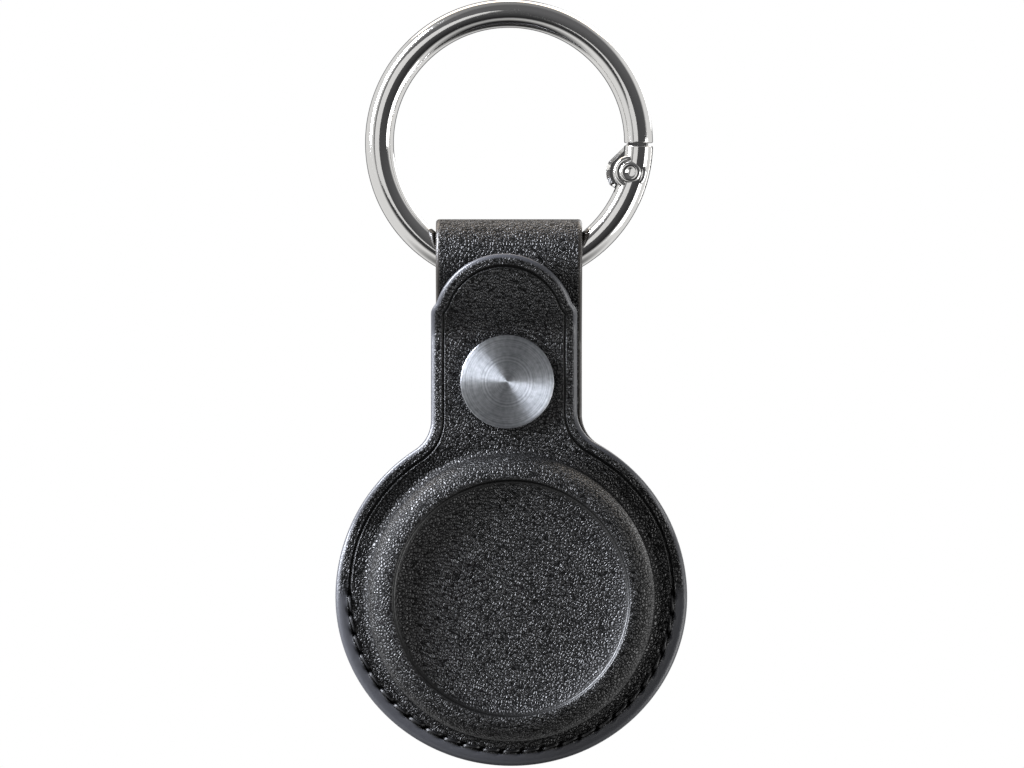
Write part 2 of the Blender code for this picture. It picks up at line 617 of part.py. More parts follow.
def make_front_panel():
    """Moulded front leather: the dome over the tracker, and the flange sewn to the back panel."""
    top_z = FOLD_Z - FRONT_THICKNESS / 2 - FLAP_FOLD_GAP
    outline = pouch_outline(FLAP_OFFSET, top_z)
    right, left = Vector(outline[0]), Vector(outline[-1])
    count = FLAP_COLUMNS
    outline += [tuple(left.lerp(right, i / count)) for i in range(1, count)]
    centre = Vector((DISC_OFFSET, DISC_Z))
    spokes = [(Vector(point) - centre) for point in outline]

    def ring(radius, depth, lifted):
        loop = []
        for spoke in spokes:
            spot = centre + spoke.normalized() * radius
            lift = flange_lift(spot.y) if lifted else 0.0
            loop.append(Vector((spot.x, depth_y(depth + lift), spot.y)))
        return loop

    def rim(depth, inset):
        loop = []
        for spoke in spokes:
            spot = centre + spoke - spoke.normalized() * inset
            loop.append(Vector((spot.x, depth_y(depth + flange_lift(spot.y)), spot.y)))
        return loop

    edge = LEATHER_EDGE_ROUND
    foot = DOME_FOOT_FILLET
    loops = [ring(radius, depth, False) for radius, depth in dome_inner_profile()]
    loops += [
        ring(POCKET_RADIUS, FLANGE_BACK_DEPTH, True),
        rim(FLANGE_BACK_DEPTH, edge),
        rim(FLANGE_BACK_DEPTH + edge, 0.0),
        rim(FLANGE_FRONT_DEPTH - edge, 0.0),
        rim(FLANGE_FRONT_DEPTH, edge),
        ring(DOME_WALL_RADIUS + foot, FLANGE_FRONT_DEPTH, True),
        ring(DOME_WALL_RADIUS + foot / 3, FLANGE_FRONT_DEPTH + foot / 3, True),
        ring(DOME_WALL_RADIUS, FLANGE_FRONT_DEPTH + foot, True),
    ]
    loops += [ring(radius, depth, False) for radius, depth in reversed(dome_outer_profile())]
    return make_object("front_panel", loft(loops), LEATHER)


def soft_ramp(z, corner, blend):
    """Zero below a corner and rising one for one above it, rounded over a length each way."""
    past = z - corner
    if past <= -blend:
        return 0.0
    if past >= blend:
        return past
    return (past + blend) ** 2 / (4 * blend)


def flap_depth(z):
    """Depth of the flap's middle at a height: flat over the snap, then leaning out over the loop."""
    ramp_low = FLAP_RAMP_LOW_Z
    ramp_high = PIVOT_Z - FLAP_RAMP_TOP_BELOW_PIVOT
    slope = (FLAP_TIP_DEPTH - FLAP_MIDDLE_DEPTH) / (ramp_high - ramp_low)
    rise = soft_ramp(z, ramp_low, FLAP_BEND_LENGTH) - soft_ramp(z, ramp_high, FLAP_BEND_LENGTH)
    return FLAP_MIDDLE_DEPTH + slope * rise


def flap_edges(z, side):
    """X of the flap's left or right edge at a height: fillet, straight neck, shoulder and round top."""
    arc_z = FLAP_TOP_Z - FLAP_ARC_RADIUS
    if z > FLAP_TOP_Z - FLAP_SHOULDER_BELOW_TOP:
        half = math.sqrt(max(FLAP_ARC_RADIUS ** 2 - (z - arc_z) ** 2, 0.0))
        return FLAP_OFFSET + side * half
    outline = disc_side(FLAP_OFFSET, side)
    if z >= outline[0][1]:
        return FLAP_OFFSET + side * STRAP_HALF_WIDTH
    return cut_level(outline, z)[0][0]


def flap_rows():
    """Heights of the flap's rows, with the share of the full thickness at each."""
    half = FRONT_THICKNESS / 2
    rows = [(FOLD_Z - half * math.cos(a), math.sin(a)) for a in
            (math.pi / 2 * i / SHOULDER_POINTS for i in range(1, SHOULDER_POINTS))]
    shoulder_z = FLAP_TOP_Z - FLAP_SHOULDER_BELOW_TOP
    ramp_low = FLAP_RAMP_LOW_Z
    fillet_top = disc_side(FLAP_OFFSET, 1)[0][1]
    fillet_rows = max(2, FILLET_POINTS // 2)
    rows += [(FOLD_Z + (fillet_top - FOLD_Z) * i / fillet_rows, 1.0) for i in range(fillet_rows + 1)]
    rows += [(SNAP_Z, 1.0)]
    bend_rows = 4
    rows += [(ramp_low - FLAP_BEND_LENGTH + 2 * FLAP_BEND_LENGTH * i / bend_rows, 1.0)
             for i in range(bend_rows + 1)]
    rows += [(shoulder_z - LEATHER_EDGE_ROUND, 1.0), (shoulder_z + LEATHER_EDGE_ROUND / 2, 1.0)]
    arc_z = FLAP_TOP_Z - FLAP_ARC_RADIUS
    first = math.asin((shoulder_z + LEATHER_EDGE_ROUND - arc_z) / FLAP_ARC_RADIUS)
    last = math.asin((FLAP_ARC_RADIUS - LEATHER_EDGE_ROUND) / FLAP_ARC_RADIUS)
    rows += [(arc_z + FLAP_ARC_RADIUS * math.sin(first + (last - first) * i / FLAP_ARC_ROWS), 1.0)
             for i in range(1, FLAP_ARC_ROWS + 1)]
    rows += [(FLAP_TOP_Z - LEATHER_EDGE_ROUND / 4, 1 - 2 * LEATHER_EDGE_ROUND / FRONT_THICKNESS)]
    return rows


def make_front_flap():
    """Tongue of the front leather: hinged at the fold, flat over the snap, round over the loop."""
    loops = []
    edge_share = 1 - 2 * LEATHER_EDGE_ROUND / FRONT_THICKNESS
    step = FLAP_BEND_LENGTH / 4
    for z, share in flap_rows():
        left, right = flap_edges(z, -1), flap_edges(z, 1)
        inset = min(LEATHER_EDGE_ROUND, (right - left) / 4)
        slope = (flap_depth(z + step) - flap_depth(z - step)) / (2 * step)
        lean = math.atan(slope)
        columns = [(left, edge_share)]
        columns += [(left + inset + (right - left - 2 * inset) * i / FLAP_COLUMNS, 1.0)
                    for i in range(FLAP_COLUMNS + 1)]
        columns += [(right, edge_share)]
        front, back = [], []
        for x, edge in columns:
            half = FRONT_THICKNESS / 2 * share * edge
            out = half * math.cos(lean)
            down = half * math.sin(lean)
            front.append(Vector((x, depth_y(flap_depth(z) + out), z - down)))
            back.append(Vector((x, depth_y(flap_depth(z) - out), z + down)))
        loops.append(front + back[::-1])
    flap = make_object("front_flap", loft(loops), LEATHER)
    hole = cylinder(SNAP_CAP_POST_DIAMETER / 2 + POST_HOLE_CLEARANCE, -FRONT_THICKNESS, FRONT_THICKNESS,
                    SMALL_TURNED_STEPS)
    place = face_front(hole, SNAP_OFFSET, depth_y(FLAP_MIDDLE_DEPTH), SNAP_Z)
    boolean(flap, guide("cap_post_hole", place), "DIFFERENCE")
    return flap


def snap_part(name, profile, steps, closed, settings):
    """Turned part of the snap, with heights written as depths from the rear face."""
    body = face_front(turn(profile, steps, closed), SNAP_OFFSET, BACK_Y, SNAP_Z)
    return make_object(name, body, settings)


def make_snap_cap():
    """Cap on the front of the flap: a shallow dished disc with a hollow post through the leather."""
    radius = SNAP_CAP_DIAMETER / 2
    low = CAP_SEAT_DEPTH
    rim = low + SNAP_CAP_RIM_HEIGHT
    post = SNAP_CAP_POST_DIAMETER / 2
    bore = SNAP_CAP_POST_BORE / 2
    post_end = SOCKET_FRONT_DEPTH - SNAP_SOCKET_WALL + SNAP_SEAT_GAP
    bevel = SNAP_CAP_BEVEL
    profile = [
        (0.0, low + SNAP_CAP_WALL), (bore, low), (bore, post_end), (post, post_end), (post, low),
        (radius - bevel, low), (radius, low + bevel), (radius, rim - bevel), (radius - bevel, rim),
        (0.0, rim - SNAP_CAP_DISH),
    ]
    return snap_part("snap_cap", profile, TURNED_STEPS, False, STEEL)


def make_snap_socket():
    """Socket behind the flap: a cup that the stud's knob enters, riveted to the cap's post."""
    outer = SNAP_SOCKET_DIAMETER / 2
    mouth = SNAP_STUD_KNOB_DIAMETER / 2 + SNAP_SOCKET_MOUTH_CLEARANCE
    groove = mouth + SNAP_SPRING_WIRE + 2 * SNAP_SEAT_GAP
    wall = SNAP_SOCKET_WALL
    low = SOCKET_BACK_DEPTH
    high = SOCKET_FRONT_DEPTH
    lip = low + wall / 2
    groove_top = lip + SNAP_SPRING_WIRE + 2 * SNAP_SEAT_GAP
    hole = SNAP_CAP_POST_DIAMETER / 2 + SNAP_SEAT_GAP
    profile = [
        (mouth, low), (outer - wall, low), (outer, low + wall), (outer, high), (hole, high),
        (hole, high - wall), (mouth, high - wall), (mouth, groove_top), (groove, groove_top), (groove, lip),
        (mouth, lip),
    ]
    return snap_part("snap_socket", profile, TURNED_STEPS, True, STEEL)


def make_snap_spring():
    """Open wire ring in the socket's groove that grips the stud below its knob."""
    wire = SNAP_SPRING_WIRE / 2
    mouth = SNAP_STUD_KNOB_DIAMETER / 2 + SNAP_SOCKET_MOUTH_CLEARANCE
    radius = mouth + wire + SNAP_SEAT_GAP / 2
    lip = SOCKET_BACK_DEPTH + SNAP_SOCKET_WALL / 2
    level = depth_y(lip + wire + SNAP_SEAT_GAP)
    curve = bpy.data.curves.new("snap_spring", "CURVE")
    curve.dimensions = "3D"
    curve.bevel_depth = wire
    curve.bevel_resolution = 1
    curve.use_fill_caps = True
    spline = curve.splines.new("POLY")
    spline.points.add(TURNED_STEPS - 1)
    span = 2 * math.pi - SNAP_SPRING_GAP_ANGLE
    start = math.pi / 2 + SNAP_SPRING_GAP_ANGLE / 2
    for i, point in enumerate(spline.points):
        angle = start + span * i / (TURNED_STEPS - 1)
        point.co = (SNAP_OFFSET + radius * math.cos(angle), level, SNAP_Z + radius * math.sin(angle), 1.0)
    curve.materials.append(finish(SPRING_STEEL))
    spring = bpy.data.objects.new("snap_spring", curve)
    bpy.context.scene.collection.objects.link(spring)
    return spring


def make_snap_stud():
    """Stud on the strap's front leaf: a flange and a hollow knob, tapered so that the socket tips off."""
    base = SNAP_STUD_BASE_DIAMETER / 2
    knob = SNAP_STUD_KNOB_DIAMETER / 2
    neck = SNAP_STUD_NECK_DIAMETER / 2
    wall = SNAP_STUD_WALL
    low = STUD_SEAT_DEPTH
    flange = STUD_BASE_DEPTH
    top = STUD_TOP_DEPTH
    bulge = flange + SNAP_STUD_BULGE_HEIGHT
    shrink = knob - SNAP_STUD_TIP_DIAMETER / 2
    taper = [(knob - shrink * (i / SHOULDER_POINTS) ** SNAP_STUD_TAPER_POWER,
              bulge + (top - bulge) * i / SHOULDER_POINTS) for i in range(SHOULDER_POINTS + 1)]
    hollow = SNAP_POST_DIAMETER / 2 + SNAP_SEAT_GAP
    profile = [
        (hollow, low), (base - wall / 2, low), (base, low + wall / 2), (base - wall / 2, flange),
        (neck, flange), *taper, (0.0, top), (0.0, top - wall), (hollow, top - wall),
    ]
    return snap_part("snap_stud", profile, TURNED_STEPS, True, STEEL)


def make_snap_post():
    """Hollow rear rivet: a flat flange let into the back panel and a barrel up into the stud."""
    flange = SNAP_POST_FLANGE_DIAMETER / 2
    barrel = SNAP_POST_DIAMETER / 2
    bore = SNAP_POST_BORE / 2
    end = STUD_TOP_DEPTH - SNAP_STUD_WALL - SNAP_SEAT_GAP
    edge = SNAP_POST_FLANGE_THICKNESS / 4
    low = SNAP_SEAT_GAP
    high = low + SNAP_POST_FLANGE_THICKNESS
    profile = [
        (bore, low), (flange - edge, low), (flange, low + edge), (flange, high), (barrel, high),
        (barrel, end), (bore, end),
    ]
    return snap_part("snap_post", profile, TURNED_STEPS, True, STEEL)


def joint_empty(name, x, y, z, children):
    """Empty on a joint's axis that carries the pieces turning there."""
    empty = bpy.data.objects.new(name, None)
    empty.empty_display_size = WIRE_RADIUS
    empty.location = (x, y, z)
    bpy.context.scene.collection.objects.link(empty)
    for child in children:
        child.parent = empty
        child.matrix_parent_inverse = Matrix.Translation((-x, -y, -z))
    return empty


def build():
    """Make every piece and hang the moving ones on empties at their joints."""
    clear_scene()
    make_ring_body()
    gate = [make_ring_gate(), make_hinge_pin(), make_gate_spring(), make_gate_plunger()]
    joint_empty("gate_axis", PIN_X, 0.0, PIN_Z, gate)
    flap = [make_front_flap(), make_snap_cap(), make_snap_socket(), make_snap_spring()]
    flap_axis = joint_empty("flap_axis", SNAP_OFFSET, depth_y(FLAP_MIDDLE_DEPTH), FOLD_Z, flap)
    pouch = [make_back_panel(), make_strap_loop(), make_front_panel(), make_snap_stud(), make_snap_post()]
    joint_empty("pouch_axis", 0.0, 0.0, PIVOT_Z, pouch + [flap_axis])


build()
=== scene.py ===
# %% [markdown]
# # A leather tracker holder on a gate ring
# A moulded leather pouch hangs on a polished ring with a sprung gate. The front leather is one skin
# with a dome and a tongue, closed by a snap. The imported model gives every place, and this lesson
# builds the looks around it: each surface is worked out with numpy, in millimetres, and each
# finish is a small node tree. +Z is up, the front faces -Y and depth is counted forward from the
# flat rear face.

import bmesh
import bpy
import numpy as np
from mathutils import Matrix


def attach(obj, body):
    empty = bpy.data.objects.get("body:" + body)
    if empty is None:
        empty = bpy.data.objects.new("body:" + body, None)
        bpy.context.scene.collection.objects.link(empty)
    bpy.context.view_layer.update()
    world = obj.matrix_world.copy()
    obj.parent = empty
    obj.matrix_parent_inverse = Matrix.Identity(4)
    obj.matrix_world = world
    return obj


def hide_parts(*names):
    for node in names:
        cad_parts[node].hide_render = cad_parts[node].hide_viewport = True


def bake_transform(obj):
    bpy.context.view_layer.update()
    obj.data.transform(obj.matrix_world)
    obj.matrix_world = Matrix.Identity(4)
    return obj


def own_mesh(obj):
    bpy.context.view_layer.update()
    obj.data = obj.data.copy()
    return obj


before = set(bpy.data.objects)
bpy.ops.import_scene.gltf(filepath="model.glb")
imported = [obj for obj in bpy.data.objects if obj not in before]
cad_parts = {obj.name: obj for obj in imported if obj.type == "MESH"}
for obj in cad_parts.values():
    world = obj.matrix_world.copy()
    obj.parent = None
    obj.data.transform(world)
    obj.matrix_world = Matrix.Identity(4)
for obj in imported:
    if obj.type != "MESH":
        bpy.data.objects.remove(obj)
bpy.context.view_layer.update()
scene = bpy.context.scene
MM = 0.001
TURN = 2 * np.pi

# %% [markdown]
# The places of the real object, in millimetres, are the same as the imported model's. The ring's eye
# is 28 mm wide, the leather is 1.3 mm thick and the dome holds a coin-shaped tracker of 31.9 mm.

# %% Places shared by several pieces
RING_Z = -14.0
RING_R = 15.75
WIRE_R = 1.75
PIN = np.array([14.719, 0.0, -17.588])
PIVOT_Z = -28.0675
REAR_Y = 4.8
LEATHER = 1.3
DISC = np.array([0.28, -69.2375])
DISC_R = 21.44
DISC_LOW_R = 20.61
STRAP_HALF = 8.875
FILLET_R = 4.3
FLAP_X = -0.6
FLAP_TOP_Z = -27.5075
SNAP = np.array([-0.22, -43.0275])


# %% Helpers: curves and arrays
def smooth_step(low, high, value):
    """0 below low, 1 above high, and 3t^2 - 2t^3 between, with t the share of the way."""
    t = np.clip((value - low) / (high - low), 0.0, 1.0)
    return t * t * (3 - 2 * t)


def bell(value, centre, width):
    """exp(-((value - centre) / width)^2), a smooth bump of height 1."""
    return np.exp(-(((value - centre) / width) ** 2))


def unit(vectors):
    """Vectors divided by their lengths."""
    return vectors / np.linalg.norm(vectors, axis=-1, keepdims=True)


def length_along(points, spacing=1.0):
    """Length of a line up to each of its points, in steps of the wanted spacing."""
    steps = np.linalg.norm(np.diff(points, axis=0), axis=1)
    return np.concatenate([[0.0], np.cumsum(steps / spacing)])


def points_at(wanted, length, points):
    """Points of a line at the wanted lengths."""
    return np.stack([np.interp(wanted, length, column) for column in points.T], axis=1)


def resample(points, spacing):
    """Points along a line; spacing(points) gives the wanted length of the step at each place."""
    length = length_along(points, spacing((points[1:] + points[:-1]) / 2))
    return points_at(np.linspace(0.0, length[-1], int(round(length[-1])) + 1), length, points)


def grid_faces(rows, cols, start):
    """Quads between neighbours of a rows by cols grid, whose last column joins the first."""
    row = np.arange(rows - 1)[:, None] * cols
    col = np.arange(cols)[None, :]
    following = (col + 1) % cols
    corners = [row + col, row + following, row + cols + following, row + cols + col]
    return np.stack(corners, axis=-1).reshape(-1, 4) + start


# %% Helpers: from arrays to a piece
def piece(name, sheets, material, body, stands_for=(), sharp=50, marks=None):
    """One closed mesh from point grids of shape (rows, cols, 3) in mm, each wrapped across.

    Rows that shrink to a point close the ends. marks gives an array of shape (rows, cols) for each
    sheet and name, kept on the mesh as attributes for the material. A piece that bends between two
    bodies is given no body here.
    """
    points, faces, start = [], [], 0
    for sheet in sheets:
        rows, cols = sheet.shape[:2]
        points.append(sheet.reshape(-1, 3))
        faces.append(grid_faces(rows, cols, start))
        start += rows * cols
    mesh = bpy.data.meshes.new(name)
    mesh.from_pydata((np.concatenate(points) * MM).tolist(), [], np.concatenate(faces).tolist())
    for mark, values in (marks or {}).items():
        layer = mesh.attributes.new(mark, "FLOAT", "POINT")
        values = np.concatenate([v.ravel() for v in values])
        layer.data.foreach_set("value", values.astype(np.float32))
    close_mesh(mesh)
    mesh.shade_smooth()
    mesh.set_sharp_from_angle(angle=np.radians(sharp))
    mesh.materials.append(material)
    obj = bpy.data.objects.new(name, mesh)
    scene.collection.objects.link(obj)
    if body:
        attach(obj, body)
    if stands_for:
        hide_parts(*stands_for)
    print(name, len(mesh.vertices), "points")
    return obj


def close_mesh(mesh):
    """Merge doubled points at poles and seams, drop empty faces and turn every face outwards."""
    bm = bmesh.new()
    bm.from_mesh(mesh)
    bmesh.ops.remove_doubles(bm, verts=bm.verts, dist=1e-7)
    bmesh.ops.dissolve_degenerate(bm, edges=bm.edges, dist=1e-8)
    bmesh.ops.recalc_face_normals(bm, faces=bm.faces)
    bm.to_mesh(mesh)
    bm.free()


# %% [markdown]
# The camera looks straight at the front through a long lens, so that it sees the ring and the
# pouch without perspective, as the photograph does. The picture is 124.5 mm wide at the object.

# %% Camera
VIEW_WIDTH = 124.5
VIEW_MIDDLE = (0.365, -43.3)
CAMERA_FAR = 1200.0
SENSOR_WIDTH = 36.0
camera = bpy.data.objects.new("camera", bpy.data.cameras.new("camera"))
camera.data.sensor_width = SENSOR_WIDTH
camera.data.lens = SENSOR_WIDTH * CAMERA_FAR / VIEW_WIDTH
camera.data.clip_end = 10.0
camera.location = (VIEW_MIDDLE[0] * MM, -CAMERA_FAR * MM, VIEW_MIDDLE[1] * MM)
camera.rotation_euler = (np.pi / 2, 0.0, 0.0)
scene.collection.objects.link(camera)
scene.camera = camera
scene.view_settings.view_transform = "Standard"


# %% Helpers: colours and nodes
def linear(code):
    """Linear colour with alpha from an sRGB hex code."""
    srgb = np.array([int(code[i : i + 2], 16) for i in (1, 3, 5)]) / 255.0
    low = srgb / 12.92
    high = ((srgb + 0.055) / 1.055) ** 2.4
    return (*np.where(srgb <= 0.04045, low, high).tolist(), 1.0)


def node(tree, kind, links=None, **settings):
    """Add a node: settings name its own options or its inputs, links join an input to a socket.

    An input is named by its label with underscores for spaces, or by in0, in1 and so on.
    """
    made = tree.nodes.new(kind)
    for name, value in settings.items():
        if hasattr(made, name):
            setattr(made, name, value)
        else:
            made.inputs[socket_key(name)].default_value = value
    for name, socket in (links or {}).items():
        tree.links.new(socket, made.inputs[socket_key(name)])
    return made


def socket_key(name):
    """The label or number that an input's short name stands for."""
    if name.startswith("in") and name[2:].isdigit():
        return int(name[2:])
    return name.replace("_", " ")


# %% [markdown]
# The studio is plain: a white background and a strong narrow soft box at the upper left, which
# only grazes the front, so the grain stands out and the dished middle is dark at its upper left.
# Weaker boxes stand at the lower right, in front, behind and above. Camera rays see the world as
# white. Rays off shiny pieces see it white only at the sides, and see a dim room towards the
# camera, straight behind, above and below, which gives polished metal its dark lines. All other
# rays get an even grey fill.

# %% World
world = bpy.data.worlds.new("studio")
world.use_nodes = True
scene.world = world
sky = world.node_tree
sky.nodes.clear()
WHITE = (1.0, 1.0, 1.0, 1.0)
ROOM_UP = linear("#707072")
ROOM_DOWN = linear("#2a2a2b")
FILL = (0.45, 0.45, 0.45, 1.0)
REARWARD = (-0.2, 1.0, -0.3)
direction = node(sky, "ShaderNodeTexCoord").outputs["Generated"]
parts = node(sky, "ShaderNodeSeparateXYZ", {"in0": direction})
height = parts.outputs["Z"]
depth = parts.outputs["Y"]
lean = node(sky, "ShaderNodeVectorMath", {"in0": direction}, operation="DOT_PRODUCT", in1=REARWARD)
bright = node(sky, "ShaderNodeMapRange", {"Value": lean.outputs["Value"]},
              From_Min=-0.66, From_Max=-0.42)
not_below = node(sky, "ShaderNodeMapRange", {"Value": height}, From_Min=-0.9, From_Max=-0.65)
not_straight = node(sky, "ShaderNodeMapRange", {"Value": depth}, From_Min=0.72, From_Max=0.86,
                    To_Min=1.0, To_Max=0.12)
not_above = node(sky, "ShaderNodeMapRange", {"Value": height}, From_Min=0.6, From_Max=0.92,
                 To_Min=1.0, To_Max=0.2)
for limit in (not_below, not_straight, not_above):
    bright = node(sky, "ShaderNodeMath", {"in0": bright.outputs[0], "in1": limit.outputs[0]},
                  operation="MULTIPLY")
upward = node(sky, "ShaderNodeMapRange", {"Value": height}, From_Min=-0.5, From_Max=0.6)
room = node(sky, "ShaderNodeMix", {"in0": upward.outputs[0]}, data_type="RGBA",
            in6=ROOM_DOWN, in7=ROOM_UP)
shiny = node(sky, "ShaderNodeMix", {"in0": bright.outputs[0], "in6": room.outputs[2]},
             data_type="RGBA", in7=WHITE)
path = node(sky, "ShaderNodeLightPath")
glossy = node(sky, "ShaderNodeMix", {"in0": path.outputs["Is Glossy Ray"], "in7": shiny.outputs[2]},
              data_type="RGBA", in6=FILL)
clear = node(sky, "ShaderNodeMath", {"in0": path.outputs["Is Camera Ray"],
                                     "in1": path.outputs["Is Transmission Ray"]},
             operation="MAXIMUM")
seen = node(sky, "ShaderNodeMix", {"in0": clear.outputs[0], "in6": glossy.outputs[2]},
            data_type="RGBA", in7=WHITE)
backdrop = node(sky, "ShaderNodeBackground", {"Color": seen.outputs[2]}, Strength=1.0)
node(sky, "ShaderNodeOutputWorld", {"Surface": backdrop.outputs[0]})


# %% Soft boxes
AIM = np.array([0.0, 0.0, -0.045])


def soft_box(name, place, size, radiance, tint="#ffffff"):
    """Lamp of a place and size in metres, turned to the object: power = radiance times pi area."""
    lamp = bpy.data.lights.new(name, "AREA")
    lamp.shape = "RECTANGLE"
    lamp.size, lamp.size_y = size
    lamp.energy = radiance * np.pi * size[0] * size[1]
    lamp.color = linear(tint)[:3]
    obj = bpy.data.objects.new(name, lamp)
    away = np.array(place) - AIM
    turn = np.arctan2(away[0], -away[1])
    tilt = np.arctan2(np.hypot(away[0], away[1]), away[2])
    obj.rotation_euler = (tilt, 0.0, turn)
    obj.location = place
    scene.collection.objects.link(obj)


soft_box("soft_box_left", (-0.62, -0.17, 0.32), (0.15, 0.70), 68.0, "#f1f5ff")
soft_box("soft_box_right", (0.62, -0.24, -0.22), (0.30, 0.50), 4.0)
soft_box("soft_box_front", (-0.30, -0.80, 0.12), (0.55, 0.55), 0.9)
soft_box("soft_box_behind", (0.45, 0.75, 0.35), (0.60, 0.60), 2.5)
soft_box("strip_behind_top", (0.02, 0.30, 0.50), (0.9, 0.25), 3.2, "#ffeeda")

# %% [markdown]
# The floor is a pale round plane just below the pouch, for the other views. It fades into the
# white background from 100 to 150 mm out, and it keeps the object's soft shadow.

# %% Floor
FLOOR_Z = -96.0
FLOOR_R = 260.0
FLOOR_SIDES = 64
floor_stuff = bpy.data.materials.new("pale_floor")
floor_stuff.use_nodes = True
tree = floor_stuff.node_tree
tree.nodes.clear()
place = node(tree, "ShaderNodeTexCoord").outputs["Object"]
far = node(tree, "ShaderNodeVectorMath", {"in0": place}, operation="LENGTH")
fade = node(tree, "ShaderNodeMapRange", {"Value": far.outputs["Value"]},
            From_Min=0.10, From_Max=0.15, interpolation_type="SMOOTHSTEP")
pale = node(tree, "ShaderNodeBsdfDiffuse", Color=linear("#f4f4f4"))
path = node(tree, "ShaderNodeLightPath")
seen = node(tree, "ShaderNodeMath", {"in0": path.outputs["Is Camera Ray"],
                                     "in1": path.outputs["Is Glossy Ray"]}, operation="MAXIMUM")
lift = node(tree, "ShaderNodeMath", {"in0": seen.outputs[0]}, operation="MULTIPLY", in1=0.25)
glow = node(tree, "ShaderNodeEmission", {"Strength": lift.outputs[0]}, Color=WHITE)
lit = node(tree, "ShaderNodeAddShader", {"in0": pale.outputs[0], "in1": glow.outputs[0]})
gone = node(tree, "ShaderNodeBsdfTransparent")
mixed = node(tree, "ShaderNodeMixShader", {"in0": fade.outputs[0], "in1": lit.outputs[0],
                                           "in2": gone.outputs[0]})
node(tree, "ShaderNodeOutputMaterial", {"Surface": mixed.outputs[0]})
angle = np.linspace(0, TURN, FLOOR_SIDES + 1)[:-1]
edge = [FLOOR_R * np.cos(angle), FLOOR_R * np.sin(angle), np.full(FLOOR_SIDES, FLOOR_Z)]
floor_mesh = bpy.data.meshes.new("floor")
floor_mesh.from_pydata((np.stack(edge, axis=1) * MM).tolist(), [], [list(range(FLOOR_SIDES))])
floor_mesh.materials.append(floor_stuff)
floor = bpy.data.objects.new("floor", floor_mesh)
floor.visible_glossy = False
floor.visible_diffuse = False
scene.collection.objects.link(floor)

# %% [markdown]
# The ring, its gate and the rivet are steel wire with polished nickel plating. It mirrors the
# studio, so it needs no pattern, only the faint waviness that polishing leaves and a few tiny
# specks. Nickel is a little warmer and darker than chrome.


# %% Finish: polished nickel
def new_finish(name):
    """A material, its empty tree and its object coordinates in metres."""
    stuff = bpy.data.materials.new(name)
    stuff.use_nodes = True
    tree = stuff.node_tree
    tree.nodes.clear()
    return stuff, tree, node(tree, "ShaderNodeTexCoord").outputs["Object"]


def finished(stuff, links, **settings):
    """The material with its principled shader, made of these links and settings."""
    shader = node(stuff.node_tree, "ShaderNodeBsdfPrincipled", links, **settings)
    node(stuff.node_tree, "ShaderNodeOutputMaterial", {"Surface": shader.outputs[0]})
    return stuff


def polished_nickel():
    """Mirror metal: waves 1.6 mm apart and duller specks 0.12 mm wide, both very shallow."""
    stuff, tree, place = new_finish("polished_nickel_plating")
    waves = node(tree, "ShaderNodeTexNoise", {"Vector": place}, Scale=620.0, Detail=1.0)
    specks = node(tree, "ShaderNodeTexNoise", {"Vector": place}, Scale=8000.0, Detail=2.0)
    dull = node(tree, "ShaderNodeMapRange", {"Value": specks.outputs[0]},
                From_Min=0.62, From_Max=0.78, To_Min=0.07, To_Max=0.30)
    wave = node(tree, "ShaderNodeBump", {"Height": waves.outputs[0]},
                Strength=0.5, Distance=0.00001)
    fine = node(tree, "ShaderNodeBump", {"Height": specks.outputs[0], "Normal": wave.outputs[0]},
                Strength=0.35, Distance=0.000004)
    links = {"Roughness": dull.outputs[0], "Normal": fine.outputs[0]}
    return finished(stuff, links, Base_Color=linear("#d3d2d0"), Metallic=1.0)


NICKEL = polished_nickel()

# %% [markdown]
# The ring's wire is a circle of 1.75 mm radius carried round a circle of 15.75 mm radius. Its end
# at the hinge is flat and carries the tang. Its other end is cut on a circle round the hinge pin,
# so the gate's nose can slide past it. Each end has a small round edge. Angles are counted
# clockwise from the right, as seen from the front.

# %% The ring's body
SECTION = np.linspace(0, TURN, 81)[:-1]
PIN_R = 15.15
PIN_TURN = np.radians(13.7)
NOSE_TURN = np.radians(86.0)
NOSE_REACH = np.sqrt(RING_R**2 + PIN_R**2 - 2 * RING_R * PIN_R * np.cos(NOSE_TURN - PIN_TURN))
NOSE_HALF_GAP = 0.15
END_ROUND = 0.14


def wire(angle, radius, clip=None):
    """Wire points: ring centre + (R + r cos t) outward at the clockwise angle + r sin t along Y.

    angle and radius hold one value a row, or one a point. clip keeps one side of the slot: points
    with side * y below its half width are moved onto it.
    """
    radial = RING_R + radius * np.cos(SECTION)
    y = radius * np.sin(SECTION) + 0 * angle
    if clip is not None:
        side, half_width = clip
        y = side * np.maximum(side * y, half_width)
    return np.stack([radial * np.cos(angle), y, RING_Z - radial * np.sin(angle)], axis=-1)


def end_steps(radius):
    """Rows of a rounded flat end, from the full wire to the middle: set-back and radius of each."""
    bend = np.linspace(0, np.pi / 2, 6)
    back = np.concatenate([END_ROUND * (1 - np.sin(bend)), [0.0, 0.0]])
    size = np.concatenate([radius - END_ROUND * (1 - np.cos(bend)), [radius / 2, 0.0]])
    return back[:, None], size[:, None]


def nose_angle(radial, reach):
    """Angle at which a circle round the ring's centre is this far from the pin: cosine rule."""
    return PIN_TURN + np.arccos((radial**2 + PIN_R**2 - reach**2) / (2 * radial * PIN_R))


back, size = end_steps(WIRE_R)
split_end = wire(TURN - back / RING_R, size)[::-1]
reach = NOSE_REACH + NOSE_HALF_GAP + back
nose_end = wire(nose_angle(RING_R + size * np.cos(SECTION), reach), size)
# The even rows stop just short of each end's own rows.
long_arc = wire(np.linspace(TURN - 0.02, np.radians(92.7), 260)[:, None], WIRE_R)
ring_sheet = np.concatenate([split_end, long_arc, nose_end])
piece("ring", [ring_sheet], NICKEL, "ring")


